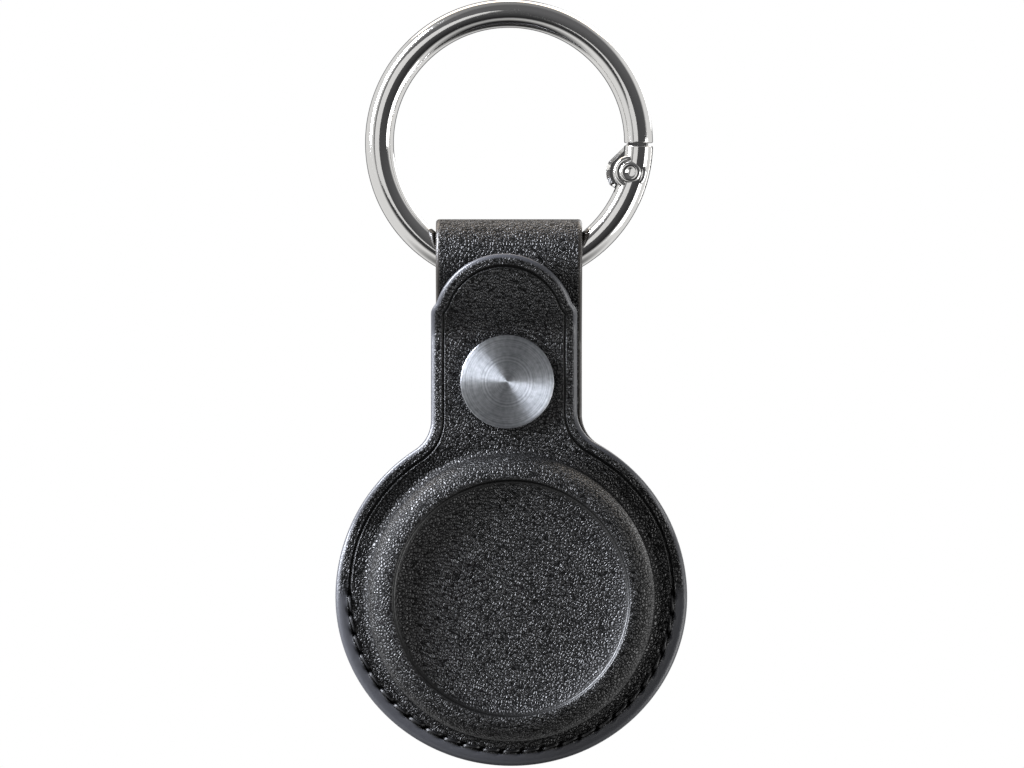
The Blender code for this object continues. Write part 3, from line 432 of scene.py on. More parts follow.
# %% The ring's tang, a flat lug round the pin
def plate(outline, centre, half, edge):
    """A flat plate: an outline drawn at four heights, with its edge cut by a small slope."""
    spokes = outline - centre
    length = np.linalg.norm(spokes, axis=1, keepdims=True)
    inner = centre + spokes * (1 - edge / length)
    middle = np.broadcast_to(centre, outline.shape)
    rows = [(middle, -half), (inner, -half), (outline, -half + edge), (outline, half - edge),
            (inner, half), (middle, half)]
    return np.stack([np.stack([p[:, 0], np.full(len(p), y), p[:, 1]], axis=1) for p, y in rows])


# The cam's radius grows by the plunger's travel over the gate's opening angle, and at that rate for
# a third of the angle beyond each end. The root's three corners lie inside the ring's wire.
BORE = -np.pi / 2 - PIN_TURN
TRAVEL = np.radians(35.0)
CAM_R = 2.1
CAM_RISE = 0.6
TANG_HALF = 0.6
TANG_EDGE = 0.4
heading = np.linspace(0, -np.pi - 2 * PIN_TURN, 120)
climb = BORE - np.clip(heading, BORE - TRAVEL * 4 / 3, BORE + TRAVEL / 3)
cam = CAM_R + CAM_RISE / TRAVEL * climb
pin_place = PIN[[0, 2]]
lug = pin_place + cam[:, None] * np.stack([np.cos(heading), np.sin(heading)], axis=1)
root = np.array([[14.45, -14.0], [14.45, -12.4], [17.05, -12.4]])
lug = resample(np.concatenate([lug, root, lug[:1]]), lambda p: np.full(len(p), 0.1))[:-1]
tang = plate(lug, pin_place, TANG_HALF, TANG_EDGE)
piece("ring_tang", [tang], NICKEL, "ring", ("ring_body",), sharp=30)

# %% [markdown]
# The gate is the same wire, forked where it holds the tang: two cheeks with a round boss each, and
# below them the full wire with a straight bore for the plunger. The bore's wall is drawn with the
# wire's own circles, so each is moved by its drift from the wire's middle line. The rivet's heads
# sit in shallow seats and have a cone-shaped dimple, as a spun rivet has.

# %% The gate
SLOT_HALF = 0.7
SLOT_DEEP = 3.0
SLOT_TURN = PIN_TURN + np.arcsin(SLOT_DEEP / PIN_R)
GATE_GAP = 0.36
GATE_TURN = np.arcsin(GATE_GAP / RING_R)
BORE_R = 0.8
BORE_DEEP = 6.8
BORE_ROWS = 8
bore_turn = np.linspace(PIN_TURN + np.arctan(BORE_DEEP / PIN_R), SLOT_TURN, BORE_ROWS)[:, None]
bore_turn = np.concatenate([bore_turn[:1], bore_turn])
bore_size = np.array([0.0] + [BORE_R] * BORE_ROWS)[:, None]
mouth = wire(bore_turn, bore_size)
drift = (PIN_R / np.cos(bore_turn - PIN_TURN) - RING_R)[..., None]
mouth += drift * np.stack([np.cos(bore_turn), 0 * bore_turn, -np.sin(bore_turn)], axis=-1)
shank_top = wire(np.full((1, 1), SLOT_TURN), WIRE_R)
shank = wire(np.linspace(SLOT_TURN + 0.002, np.radians(79.6), 150)[:, None], WIRE_R)
reach = NOSE_REACH - NOSE_HALF_GAP - back
tip = wire(nose_angle(RING_R + size * np.cos(SECTION), reach), size)
gate_sheets = [np.concatenate([mouth, shank_top, shank, tip])]
cheek_turn = np.linspace(GATE_TURN + 0.012, SLOT_TURN + 0.001, 60)[:, None]
for side in (-1, 1):
    top = wire(GATE_TURN + back / RING_R, size, (side, SLOT_HALF))[::-1]
    cheek = wire(cheek_turn, WIRE_R, (side, SLOT_HALF))
    foot = wire(np.full((1, 1), SLOT_TURN + 0.001), 0.0, (side, SLOT_HALF))
    gate_sheets.append(np.concatenate([top, cheek, foot]))


def turned(profile, centre, steps=96, side=-1):
    """A profile of (radius, height) turned round the Y axis; side 1 counts height rearward."""
    angle = np.linspace(0, TURN, steps + 1)[None, :-1]
    radius, height = np.array(profile, float).T[:, :, None]
    x = centre[0] + radius * np.cos(angle)
    z = centre[1] + radius * np.sin(angle)
    return np.stack([x, side * height + 0 * angle, z], axis=-1)


bend = np.linspace(0, np.pi / 2, 10)
boss_round = [(1.52 + 0.56 * np.cos(a), 1.13 + 0.44 * np.sin(a)) for a in bend]
boss = [(0, 0.7), (1.98, 0.7), (2.05, 0.72), (2.08, 0.78), *boss_round,
        (1.48, 1.55), (1.43, 1.53), (1.41, 1.49), (1.40, 1.43), (0, 1.43)]
gate_sheets += [turned(boss, pin_place, side=side) for side in (-1, 1)]
piece("gate", gate_sheets, NICKEL, "gate", ("ring_gate",), sharp=38)

# %% The rivet
head = [(0, 1.47), (0.12, 1.48), (0.24, 1.53), (0.50, 1.71), (0.60, 1.77), (0.70, 1.82),
        (0.80, 1.85), (0.90, 1.86), (1.00, 1.85), (1.10, 1.82), (1.20, 1.76), (1.28, 1.68),
        (1.33, 1.60), (1.35, 1.50), (1.35, 1.45), (0.6, 1.44)]
rivet = [(r, -h) for r, h in head] + [(r, h) for r, h in reversed(head)]
piece("rivet", [turned(rivet, pin_place)], NICKEL, "gate", ("hinge_pin",))

# %% [markdown]
# The leather is chrome-tanned cowhide with a thin black finish, plated with a fine pebble grain of
# about 0.4 mm. The finish is semi-gloss on the pebbles and duller in the creases between them. The
# creases also carry painted shade: they are coloured near-black and given less specular. The cut
# edges are painted and burnished, so they are smooth and greyer: the mesh marks those places, and
# the grain fades out there.

# %% Finish: pebbled leather
GRAIN_DEPTH = 0.000062
PEBBLE_ROUGH = 0.39
CREASE_ROUGH = 0.59
EDGE_ROUGH = 0.36


def pebbled_leather(name, colours):
    """Black leather: pebbles from bent cells 0.4 mm wide, wrinkles 2 mm wide, smooth edges, and
    painted shade in the creases.
    """
    crease, pebble_top, edge_paint = (linear(code) for code in colours)
    stuff, tree, place = new_finish(name)
    bend = node(tree, "ShaderNodeTexNoise", {"Vector": place}, Scale=1500.0, Detail=1.0)
    shift = node(tree, "ShaderNodeVectorMath", {"in0": bend.outputs["Color"]},
                 operation="SCALE", Scale=0.00025)
    bent = node(tree, "ShaderNodeVectorMath", {"in0": place, "in1": shift.outputs[0]},
                operation="ADD")
    cells = node(tree, "ShaderNodeTexVoronoi", {"Vector": bent.outputs[0]},
                 feature="DISTANCE_TO_EDGE", Scale=2650.0)
    pebble = node(tree, "ShaderNodeMapRange", {"Value": cells.outputs["Distance"]},
                  From_Min=0.0, From_Max=0.33, interpolation_type="SMOOTHSTEP")
    smooth = node(tree, "ShaderNodeAttribute", attribute_name="smooth").outputs["Fac"]
    grain = node(tree, "ShaderNodeMapRange", {"Value": smooth}, To_Min=1.0, To_Max=0.0)
    height = node(tree, "ShaderNodeMath", {"in0": pebble.outputs[0], "in1": grain.outputs[0]},
                  operation="MULTIPLY")
    wrinkle = node(tree, "ShaderNodeTexNoise", {"Vector": place}, Scale=520.0, Detail=3.0)
    shallow = node(tree, "ShaderNodeBump", {"Height": wrinkle.outputs[0]},
                   Strength=0.5, Distance=0.00008)
    bump = node(tree, "ShaderNodeBump", {"Height": height.outputs[0], "Normal": shallow.outputs[0]},
                Strength=1.0, Distance=GRAIN_DEPTH)
    # Painted shade: the creases between pebbles, and the smooth marked places where the pebbles fade
    # out, take the near-black first colour unless they are painted edge.
    crease_shaded_colour = node(tree, "ShaderNodeMix", {"in0": height.outputs[0]}, data_type="RGBA",
                in6=crease, in7=pebble_top)
    paint = node(tree, "ShaderNodeAttribute", attribute_name="painted").outputs["Fac"]
    painted = node(tree, "ShaderNodeMix", {"in0": paint, "in6": crease_shaded_colour.outputs[2]}, data_type="RGBA",
                   in7=edge_paint)
    uneven = node(tree, "ShaderNodeMapRange", {"Value": wrinkle.outputs[0]},
                  From_Min=0.3, From_Max=0.7, To_Min=-0.03, To_Max=0.03)
    gloss = node(tree, "ShaderNodeMapRange", {"Value": height.outputs[0]},
                 To_Min=CREASE_ROUGH, To_Max=PEBBLE_ROUGH)
    rough = node(tree, "ShaderNodeMath", {"in0": gloss.outputs[0], "in1": uneven.outputs[0]},
                 operation="ADD")
    edge = node(tree, "ShaderNodeMix", {"in0": smooth, "in2": rough.outputs[0]},
                data_type="FLOAT", in3=EDGE_ROUGH)
    # Painted shade: the specular falls from 0.9 on the pebbles to 0.1 in the creases, for the shadow
    # inside them; the smooth edges keep 0.7.
    crease_shade_specular = node(tree, "ShaderNodeMapRange", {"Value": height.outputs[0]},
                     From_Min=0.0, From_Max=0.5, To_Min=0.1, To_Max=0.9)
    specular_and_crease_shade = node(tree, "ShaderNodeMix", {"in0": smooth, "in2": crease_shade_specular.outputs[0]},
                  data_type="FLOAT", in3=0.7)
    return finished(stuff, {"Base_Color": painted.outputs[2], "Roughness": edge.outputs[0],
                            "Specular_IOR_Level": specular_and_crease_shade.outputs[0], "Normal": bump.outputs[0]})


# The first of each leather's three colours, near-black, is painted shade for the creases.
FRONT_LEATHER = pebbled_leather("black_pebbled_cowhide", ("#010101", "#0d0c0e", "#424348"))
BACK_LEATHER = pebbled_leather("black_cowhide_back", ("#010101", "#0f0e10", "#2b2723"))

# %% [markdown]
# Both leathers share the pouch's outline: a disc, two small hollow curves and a straight neck. It
# is drawn densely as circles and lines and resampled by length, so that rows of points can run
# parallel to the cut edge. The front leather goes on above the neck as a round tongue with a small
# step at each shoulder.


# %% The outline
STEP_LOW_Z = -34.8
STEP_HIGH_Z = -33.2
TONGUE_R = 8.63


def neck_joint(neck_x):
    """Centre of the hollow curve and the angle at which it meets the disc, for the right side."""
    across = neck_x + STRAP_HALF + FILLET_R - DISC[0]
    rise = np.sqrt((DISC_R + FILLET_R) ** 2 - across**2)
    return across + DISC[0], DISC[1] + rise, np.arctan2(rise, across)


def side_outline(neck_x, side, top_z):
    """One side from the disc's lowest point up to a height on the neck."""
    offset = side * (neck_x - DISC[0]) + DISC[0]
    x, z, touch = neck_joint(offset)
    low = np.linspace(-np.pi / 2, 0, 900)[:-1]
    low = np.stack([DISC_R * np.cos(low), DISC[1] + DISC_LOW_R * np.sin(low)], axis=1)
    high = np.linspace(0, touch, 500)[:-1]
    high = np.stack([DISC_R * np.cos(high), DISC[1] + DISC_R * np.sin(high)], axis=1)
    hollow = np.linspace(touch, 0, 150)
    x = x - DISC[0] - FILLET_R * np.cos(hollow)
    hollow = np.stack([x, z - FILLET_R * np.sin(hollow)], axis=1)
    points = np.concatenate([low, high, hollow, [[x[-1], top_z]]])
    points[:, 0] = DISC[0] + side * points[:, 0]
    return points


def tongue_outline(side):
    """The tongue's side from its shoulder up to its top: the neck's width eased into an arc."""
    centre_z = FLAP_TOP_Z - TONGUE_R
    z = np.linspace(STEP_LOW_Z, STEP_HIGH_Z, 80)[:-1]
    chord = np.sqrt(TONGUE_R**2 - (z - centre_z) ** 2)
    eased = smooth_step(STEP_LOW_Z + 0.1, STEP_HIGH_Z - 0.1, z)
    step = np.stack([STRAP_HALF + (chord - STRAP_HALF) * eased, z], axis=1)
    angle = np.linspace(np.arcsin((STEP_HIGH_Z - centre_z) / TONGUE_R), np.pi / 2, 300)
    arc = np.stack([TONGUE_R * np.cos(angle), centre_z + TONGUE_R * np.sin(angle)], axis=1)
    points = np.concatenate([step, arc])
    points[:, 0] = FLAP_X + side * points[:, 0]
    return points


def inward(points, closed):
    """Unit vectors to the left of the way along a line, smoothed over neighbours if closed."""
    if closed:
        way = np.roll(points, -1, axis=0) - np.roll(points, 1, axis=0)
    else:
        way = np.gradient(points, axis=0)
    normal = unit(np.stack([-way[:, 1], way[:, 0]], axis=1))
    for _ in range(6 if closed else 0):
        normal = unit(np.roll(normal, 1, axis=0) + 2 * normal + np.roll(normal, -1, axis=0))
    return normal


SEWN_BELOW_Z = -68.0
SEWN_FADE = (-67, -70)
right, left = (np.concatenate([side_outline(FLAP_X, side, -35.0), tongue_outline(side)])
               for side in (1, -1))
loop = np.concatenate([right, left[::-1][1:]])
rim = resample(loop, lambda p: np.where(p[:, 1] < SEWN_BELOW_Z, 0.24, 0.34))[:-1]
rim_in = inward(rim, True)

# %% [markdown]
# The front leather is one moulded skin. Its rows run parallel to the cut edge first, for the round
# painted edge and the pressed crease line, then ease into circles, for the dome over the tracker:
# foot, wall, round shoulder, a sharp step down and the dished middle. Away from the dome the
# skin's level depends on height alone: sewn flat below, lifted along the neck, flat at the snap and
# leaning out over the strap's loop.


# %% Levels of the front leather
FLANGE_LEVEL = 2.05
LIFT = 4.17
LIFT_FROM_Z = -62.2575
LIFT_TO_Z = -50.2575
RISE = [(-37.2, 0.0), (-36.4, 0.20), (-35.2, 0.90), (-34.0, 1.72), (-33.0, 2.33), (-32.0, 2.85),
        (-31.0, 3.30), (-30.0, 3.70), (-29.0, 4.03), (-28.1, 4.24), (-27.0, 4.42)]
NEAR = np.linspace(-0.6, 0.6, 9)


def middle_level(z):
    """Depth of the skin's middle: flange + neck's lift + tongue's rise, averaged over 1.2 mm."""
    lift = smooth_step(LIFT_FROM_Z, LIFT_TO_Z, z) * LIFT
    rise = sum(np.interp(z + shift, *np.array(RISE).T) for shift in NEAR) / NEAR.size
    return FLANGE_LEVEL + lift + rise


def wall_share(z):
    """How much deeper than its thickness the leaning skin is along Y: sqrt(1 + slope^2)."""
    slope = (middle_level(z + 0.05) - middle_level(z - 0.05)) / 0.1
    return np.sqrt(1 + slope**2)


def skin_depth(z, drop):
    """Depth of a point that lies drop millimetres under the skin's front face."""
    return middle_level(z) + (LEATHER / 2 - drop) * wall_share(z)


# %% Crease line and stitch places
def line_inset(z):
    """Distance of the crease and stitch line from the edge: 1.8 mm below, 1.5 mm above."""
    return 1.8 - 0.3 * smooth_step(-70, -60, z)


def stitch_curve(points, normals):
    """The stitch line of the lower half, from its left end."""
    line = points + normals * line_inset(points[:, 1:2])
    lower = line[line[:, 1] < SEWN_BELOW_Z - 0.6]
    return lower[np.argsort(np.arctan2(lower[:, 0] - DISC[0], DISC[1] - lower[:, 1]))]


STITCHES = 25
SEAM_MARGIN = 0.15
HOLE_SLANT = np.radians(24.0)
HOLE_LONG = 0.60
HOLE_WIDE = 0.26
seam = stitch_curve(rim, rim_in)
seam_length = length_along(seam)
hole_at = np.linspace(SEAM_MARGIN, seam_length[-1] - SEAM_MARGIN, STITCHES + 1)
holes = points_at(hole_at, seam_length, seam)
print("stitch length:", round(float(hole_at[1] - hole_at[0]), 2), "mm")


def hole_dips(x, z):
    """Dents of the needle holes, from 0 to 1, longer along the seam than across it."""
    dip = np.zeros(np.shape(x))
    for hole in holes:
        away = unit(hole - DISC)
        across = (x - hole[0]) * away[0] + (z - hole[1]) * away[1]
        along = (x - hole[0]) * away[1] - (z - hole[1]) * away[0]
        slant = along * np.cos(HOLE_SLANT) + across * np.sin(HOLE_SLANT)
        narrow = across * np.cos(HOLE_SLANT) - along * np.sin(HOLE_SLANT)
        dip = np.maximum(dip, bell(narrow, 0, HOLE_WIDE) * bell(slant, 0, HOLE_LONG))
    return dip


# %% The front leather: rows parallel to the edge
BAND = 2.4
EDGE_WIDE = 0.9
EDGE_DEEP = 0.6
REAR_ROUND = 0.35
EDGE_MARK = (0.42, 0.56)
SEWN_MARK = (1.35, 1.5)
CREASE = 0.16
LIP = 0.05
HOLE_DEEP = 0.60


def band_rows(inset, drop, creased):
    """Rows at each inset from the edge and drop below the front face, creased on the front."""
    spot = rim[None] + rim_in[None] * inset[:, None, None]
    x, z = spot[..., 0], spot[..., 1]
    across = inset[:, None] + 0 * x
    under = drop[:, None] + 0 * x
    mark = paint = 1 - smooth_step(*EDGE_MARK, across)
    if creased:
        reach = across - line_inset(z)
        lips = bell(reach, 0.25, 0.1) + bell(reach, -0.25, 0.1)
        under += CREASE * bell(reach, 0, 0.11) - LIP * lips
        under += HOLE_DEEP * hole_dips(x, z)
        # The sewn edge is painted nearly as far as the stitches.
        sewn = smooth_step(*SEWN_FADE, z)
        paint = np.maximum(paint, sewn * (1 - smooth_step(*SEWN_MARK, across)))
        mark = np.maximum(paint, bell(reach, 0, 0.2))
    return np.stack([x, REAR_Y - skin_depth(z, under), z], axis=-1), mark, paint


bend = np.linspace(0, np.pi / 2, 11)
inset = np.concatenate([np.linspace(BAND, 0.95, 24), EDGE_WIDE * (1 - np.sin(bend))])
drop = np.concatenate([np.zeros(24), EDGE_DEEP * (1 - np.cos(bend))])
front_band, front_mark, front_paint = band_rows(inset, drop, True)
bend = np.linspace(0, np.pi / 2, 5)
inset = np.concatenate([REAR_ROUND * (1 - np.cos(bend)), [0.9, 1.6, BAND]])
drop = np.concatenate([LEATHER - REAR_ROUND * (1 - np.sin(bend)), np.full(3, LEATHER)])
back_band, back_mark, back_paint = band_rows(inset, drop, False)

# %% The front leather: rows that ease into the dome's circles
spoke = unit(front_band[0][:, [0, 2]] - DISC)
PRESS = 0.12
PRESS_R = 5.8


def easing_rows(start, radius, drop, count):
    """Rows from the band to a circle, in equal shares, on the skin and pressed in at the cap."""
    share = np.linspace(0, 1, count + 2)[1:-1, None, None]
    spot = start[None] * (1 - share) + (DISC + spoke * radius)[None] * share
    x, z = spot[..., 0], spot[..., 1]
    from_snap = np.hypot(x - SNAP[0], z - SNAP[1])
    under = drop + (PRESS * bell(from_snap, PRESS_R, 0.8) if drop == 0 else 0)
    return np.stack([x, REAR_Y - skin_depth(z, under), z], axis=-1)


def circle_rows(profile, foot):
    """Rows on circles of (radius, depth, share): depth + share times the skin's level at foot."""
    radius, depth, share = np.array(profile, float).T[:, :, None]
    x = DISC[0] + radius * spoke[:, 0]
    z = DISC[1] + radius * spoke[:, 1]
    level = skin_depth(DISC[1] + foot * spoke[:, 1], 0.0)[None]
    return np.stack([x, REAR_Y - (depth + level * share), z], axis=-1)


FOOT_R = 18.3
FOOT_ROUND = 0.9
WALL_R = 17.4
WALL_TOP = 9.0
SHOULDER_R = 14.6
SHOULDER_WIDE = 2.76
SHOULDER_HIGH = 2.8
STEP_R = 14.2
DISH_R = 14.1
DISH_LEVEL = 10.2
DISH_RISE = 1.2
DISH_BEND = 2.2
bend = np.linspace(0, np.pi / 2, 7)
foot = [(WALL_R + FOOT_ROUND * (1 - np.sin(a)), FOOT_ROUND * (1 - np.cos(a)), 1) for a in bend]
wall = [(WALL_R - 0.04 * s, FOOT_ROUND * (1 - s) + WALL_TOP * s, 1 - s)
        for s in (0.25, 0.5, 0.75)]
bend = np.linspace(0, np.pi / 2, 15)
shoulder = [(SHOULDER_R + SHOULDER_WIDE * np.cos(a), WALL_TOP + SHOULDER_HIGH * np.sin(a))
            for a in bend]
step = [(14.46, 11.78), (14.38, 11.74), (14.30, 11.65), (14.23, 11.52), (14.16, 11.42)]
dish = [14.06, 13.9, 13.7, 13.4, 13, 12.5, 12, 11.4, 10.8, 10, 9, 7.8, 6.5, 5.2, 4, 2.8, 1.6, 0.7,
        0]
dish = [(r, DISH_LEVEL + DISH_RISE * np.exp((r - DISH_R) / DISH_BEND)) for r in dish]
profile = foot + wall + [(r, d, 0) for r, d in shoulder + step + dish]
dome = circle_rows(profile, FOOT_R)
easing = easing_rows(front_band[0][:, [0, 2]], FOOT_R, 0.0, 34)
pressed = bell(np.array(profile)[:, :1], STEP_R, 0.3) * np.ones(len(rim))

# %% The front leather: its inside
POCKET_FOOT_R = 17.0
under_easing = easing_rows(back_band[-1][:, [0, 2]], POCKET_FOOT_R, LEATHER, 12)
inner = [(16.1, 9.0), (15.96, 9.55), (15.5, 10.2), (14.9, 10.47), (14.5, 10.45), (14.0, 10.0),
         (13.2, 9.6), (7, 9.6), (0, 9.6)]
inner = [(16.5, 0.1 - LEATHER, 1), (16.1, 0.6 - LEATHER, 1)] + [(r, d, 0) for r, d in inner]
inside = circle_rows(inner, POCKET_FOOT_R)
within = np.zeros((len(inside) + len(under_easing), len(rim)))
around = np.zeros((len(easing), len(rim)))
skin = np.concatenate([inside[::-1], under_easing[::-1], back_band[::-1], front_band[::-1][1:],
                       easing, dome])
mark = np.concatenate([within, back_mark[::-1], front_mark[::-1][1:], around, pressed])
paint = np.concatenate([within, back_paint[::-1], front_paint[::-1][1:], around, 0 * pressed])
front = piece("front_leather", [skin], FRONT_LEATHER, None,
              ("front_panel", "front_flap"), sharp=60, marks={"smooth": [mark], "painted": [paint]})
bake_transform(front)

# %% [markdown]
# The back leather is one strip: it starts behind the snap, goes up and over the ring, comes down
# the rear and widens into the flat disc. Each row of its mesh runs from its left edge to its right
# edge and back on the other face, so the painted edge stays even all the way. On the disc the rows
# join matching points of the two sides and meet at its lowest point.


# %% Where the strap runs
LOOP_R = 3.5
LEAF_LEVEL = 2.05
LEAF_END_Z = -47.63
RAMP_DROP = 10.2
BEND_R = 3.0


def strap_line():
    """Middle of the strap in (y, z): front leaf, bend, ramp, loop over the ring, rear leaf.

    Seen from the loop's centre, the ramp touches it arccos(radius / distance) before its corner.
    """
    radius = LOOP_R + LEATHER / 2
    leaf_y = REAR_Y - LEAF_LEVEL
    corner = np.array([leaf_y, -RAMP_DROP])
    leave = np.arctan2(corner[1], corner[0]) - np.arccos(radius / np.hypot(*corner)) + TURN
    slope = corner - radius * np.array([np.cos(leave), np.sin(leave)])
    lean = np.arctan2(slope[0], -slope[1])
    centre = np.array([leaf_y - BEND_R, PIVOT_Z + corner[1] - BEND_R * np.tan(lean / 2)])
    low = np.linspace(0, lean, 30)
    small = centre + BEND_R * np.stack([np.cos(low), np.sin(low)], axis=1)
    high = np.linspace(leave, 0, 240)
    large = np.array([0, PIVOT_Z]) + radius * np.stack([np.cos(high), np.sin(high)], axis=1)
    ends = np.array([[leaf_y, LEAF_END_Z], [radius, neck_joint(0.0)[1]]])
    return np.concatenate([ends[:1], small, large, ends[1:]])


strap = resample(strap_line(), lambda p: np.full(len(p), 0.3))
way = unit(np.gradient(strap, axis=0))
strap_out = np.stack([0 * way[:, 0], -way[:, 1], way[:, 0]], axis=1)


# %% The two edges, by matching points
DISC_ROWS = 230


def disc_edge(side):
    """Points of one side from the neck down to the lowest point, with their inward directions."""
    line = side_outline(0.0, side, neck_joint(0.0)[1])[::-1]
    length = length_along(line)
    line = points_at(np.linspace(0, length[-1], DISC_ROWS + 1)[1:], length, line)
    normal = inward(line, False) * -side
    normal[-1] = [0.0, 1.0]
    flat = np.full(DISC_ROWS, strap[-1, 0])
    edge = np.stack([line[:, 0], flat, line[:, 1]], axis=1)
    return edge, np.stack([normal[:, 0], 0 * flat, normal[:, 1]], axis=1)


def whole_edge(side):
    """Edge points and inward directions of one side, along the strap and then round the disc."""
    strap_edge = np.stack([np.full(len(strap), side * STRAP_HALF), *strap.T], axis=1)
    strap_in = np.tile([-side * 1.0, 0.0, 0.0], (len(strap), 1))
    edge, edge_in = disc_edge(side)
    return np.concatenate([strap_edge, edge]), np.concatenate([strap_in, edge_in])


edge_left, in_left = whole_edge(-1)
edge_right, in_right = whole_edge(1)
outward = np.concatenate([strap_out, np.tile([0.0, 1.0, 0.0], (DISC_ROWS, 1))])

# %% The back leather's section
ACROSS = 42
BACK_ROUND = 0.42
BACK_LINE = 1.8
BACK_LINE_DEEP = 0.12
BACK_HOLE_DEEP = 0.3
BACK_EDGE_MARK = (0.36, 0.5)
SEAT_DEEP = 0.5
SEAT_EDGE = (3.9, 4.35)
bend = np.linspace(np.pi / 2, 0, 6)
flat_inset = [0.55, 0.75, 0.95, *np.linspace(1.1, 2.3, 11), 2.5]
band_inset = np.concatenate([BACK_ROUND * (1 - np.sin(bend)), flat_inset])
band_drop = np.concatenate([BACK_ROUND * (1 - np.cos(bend)), np.zeros(len(flat_inset))])


def face_points(side):
    """Points of one face, left to right: bands by inset and a straight middle.

    Side 1, the outer face, has the line, the needle holes and the rivet's seat at its rear.
    """
    low, high = band_inset[None, :, None], band_inset[::-1][None, :, None]
    left_band = edge_left[:, None] + low * in_left[:, None]
    right_band = edge_right[:, None] + high * in_right[:, None]
    share = np.linspace(0, 1, ACROSS)[None, 1:-1, None]
    between = left_band[:, -1:] * (1 - share) + right_band[:, :1] * share
    flat = np.concatenate([left_band, between, right_band], axis=1)
    inset = np.concatenate([band_inset, np.full(ACROSS - 2, 9.0), band_inset[::-1]])
    drop = np.concatenate([band_drop, np.zeros(ACROSS - 2), band_drop[::-1]])
    height = np.full(flat.shape[:2], LEATHER / 2) - drop
    reach = np.broadcast_to(inset[None], height.shape)
    paint = 1 - smooth_step(*BACK_EDGE_MARK, reach)
    mark = paint
    if side > 0:
        sewn = smooth_step(*SEWN_FADE, flat[..., 2])
        on_back = flat[..., 1] > 4.0
        from_snap = np.hypot(flat[..., 0] - SNAP[0], flat[..., 2] - SNAP[1])
        height -= sewn * BACK_LINE_DEEP * bell(reach, BACK_LINE, 0.2)
        height -= on_back * SEAT_DEEP * (1 - smooth_step(*SEAT_EDGE, from_snap))
        height -= on_back * BACK_HOLE_DEEP * hole_dips(flat[..., 0], flat[..., 2])
        mark = np.maximum(paint, sewn * bell(reach, BACK_LINE, 0.22))
    return flat + side * outward[:, None] * height[..., None], mark, paint


outer, under = face_points(1), face_points(-1)
section, mark, paint = (np.concatenate([a, b[:, ::-1]], axis=1) for a, b in zip(outer, under))
middle = (outer[0] + under[0]) / 2
# The front leaf's end closes on its middle, over a row that softens the edge.
end = np.concatenate([middle, middle[:, ::-1]], axis=1)[:1]
soft = section[:1] * 0.7 + end * 0.3
sheet = np.concatenate([end, soft, section[1:]])
mark, paint = (np.concatenate([np.ones((2, m.shape[1])), m[1:]]) for m in (mark, paint))
piece("back_leather", [sheet], BACK_LEATHER, "pouch",
      ("back_panel", "strap_loop"), sharp=60, marks={"smooth": [mark], "painted": [paint]})

# %% [markdown]
# The seam is saddle-stitched with a bonded black thread about 0.42 mm thick. One stitch is a short
# bar of thread: it rises out of one hole, lies along the seam and dives into the next. The thread
# is twisted, so its section swells three times round it and the swelling winds along it.


# %% Finish: bonded thread
def bonded_thread():
    """Bonded polyester thread: black, a little shiny. Fibres are 0.1 mm wide, coarse, to show."""
    stuff, tree, place = new_finish("black_bonded_polyester_thread")
    fibre = node(tree, "ShaderNodeTexNoise", {"Vector": place}, Scale=9000.0, Detail=2.0)
    tint = node(tree, "ShaderNodeMix", {"in0": fibre.outputs[0]}, data_type="RGBA",
                in6=linear("#101011"), in7=linear("#222224"))
    bump = node(tree, "ShaderNodeBump", {"Height": fibre.outputs[0]},
                Strength=0.5, Distance=0.00003)
    links = {"Base_Color": tint.outputs[2], "Normal": bump.outputs[0]}
    return finished(stuff, links, Roughness=0.42)


THREAD = bonded_thread()
THREAD_R = 0.21
HOLE_OFFSET = 0.16
DIVE = 0.62
TWIST = 0.09


# %% The stitches
def stitch(first, last, level, out):
    """One bar of twisted thread, set slantwise: it dives with the cube of the way to its ends."""
    share = np.linspace(0, 1, 25)[:, None]
    around = np.linspace(0, TURN, 19)[None, :-1]
    slant = HOLE_OFFSET * unit((first + last) / 2 - DISC)
    flat = (first + slant) * (1 - share) + (last - slant) * share
    outer = np.abs(2 * share - 1)
    rise = 0.02 - DIVE * outer**3
    thick = THREAD_R * np.sqrt(np.clip(1 - outer**8, 0, 1))
    thick = thick * (1 + TWIST * np.cos(3 * around - 9 * share))
    along = unit(last - first)
    cross = np.array([-along[1], along[0]])
    sideways = thick * np.cos(around)
    height = rise + thick * np.sin(around) * 0.85
    x = flat[:, :1] + cross[0] * sideways
    z = flat[:, 1:] + cross[1] * sideways
    return np.stack([x, level + out * height, z], axis=-1)


pairs = list(zip(holes, holes[1:]))
front_y = [REAR_Y - float(skin_depth(np.array((a[1] + b[1]) / 2), 0.0)) for a, b in pairs]
thread = [stitch(a, b, y, -1) for (a, b), y in zip(pairs, front_y)]
thread += [stitch(a, b, REAR_Y, 1) for a, b in pairs]
piece("seam_thread", thread, THREAD, "pouch", sharp=70)

# %% [markdown]
# The snap is turned from steel: the cutting tool leaves fine rings, and they stretch every
# highlight into a fan that turns round the middle. The shader does it with anisotropy, along a
# direction taken from a UV map that goes round the piece, and with shallow rings in the bump. They
# are 0.2 mm apart, coarser than real ones, so that they show. The grey varies with the rings and
# with faint stains 0.5 mm wide.


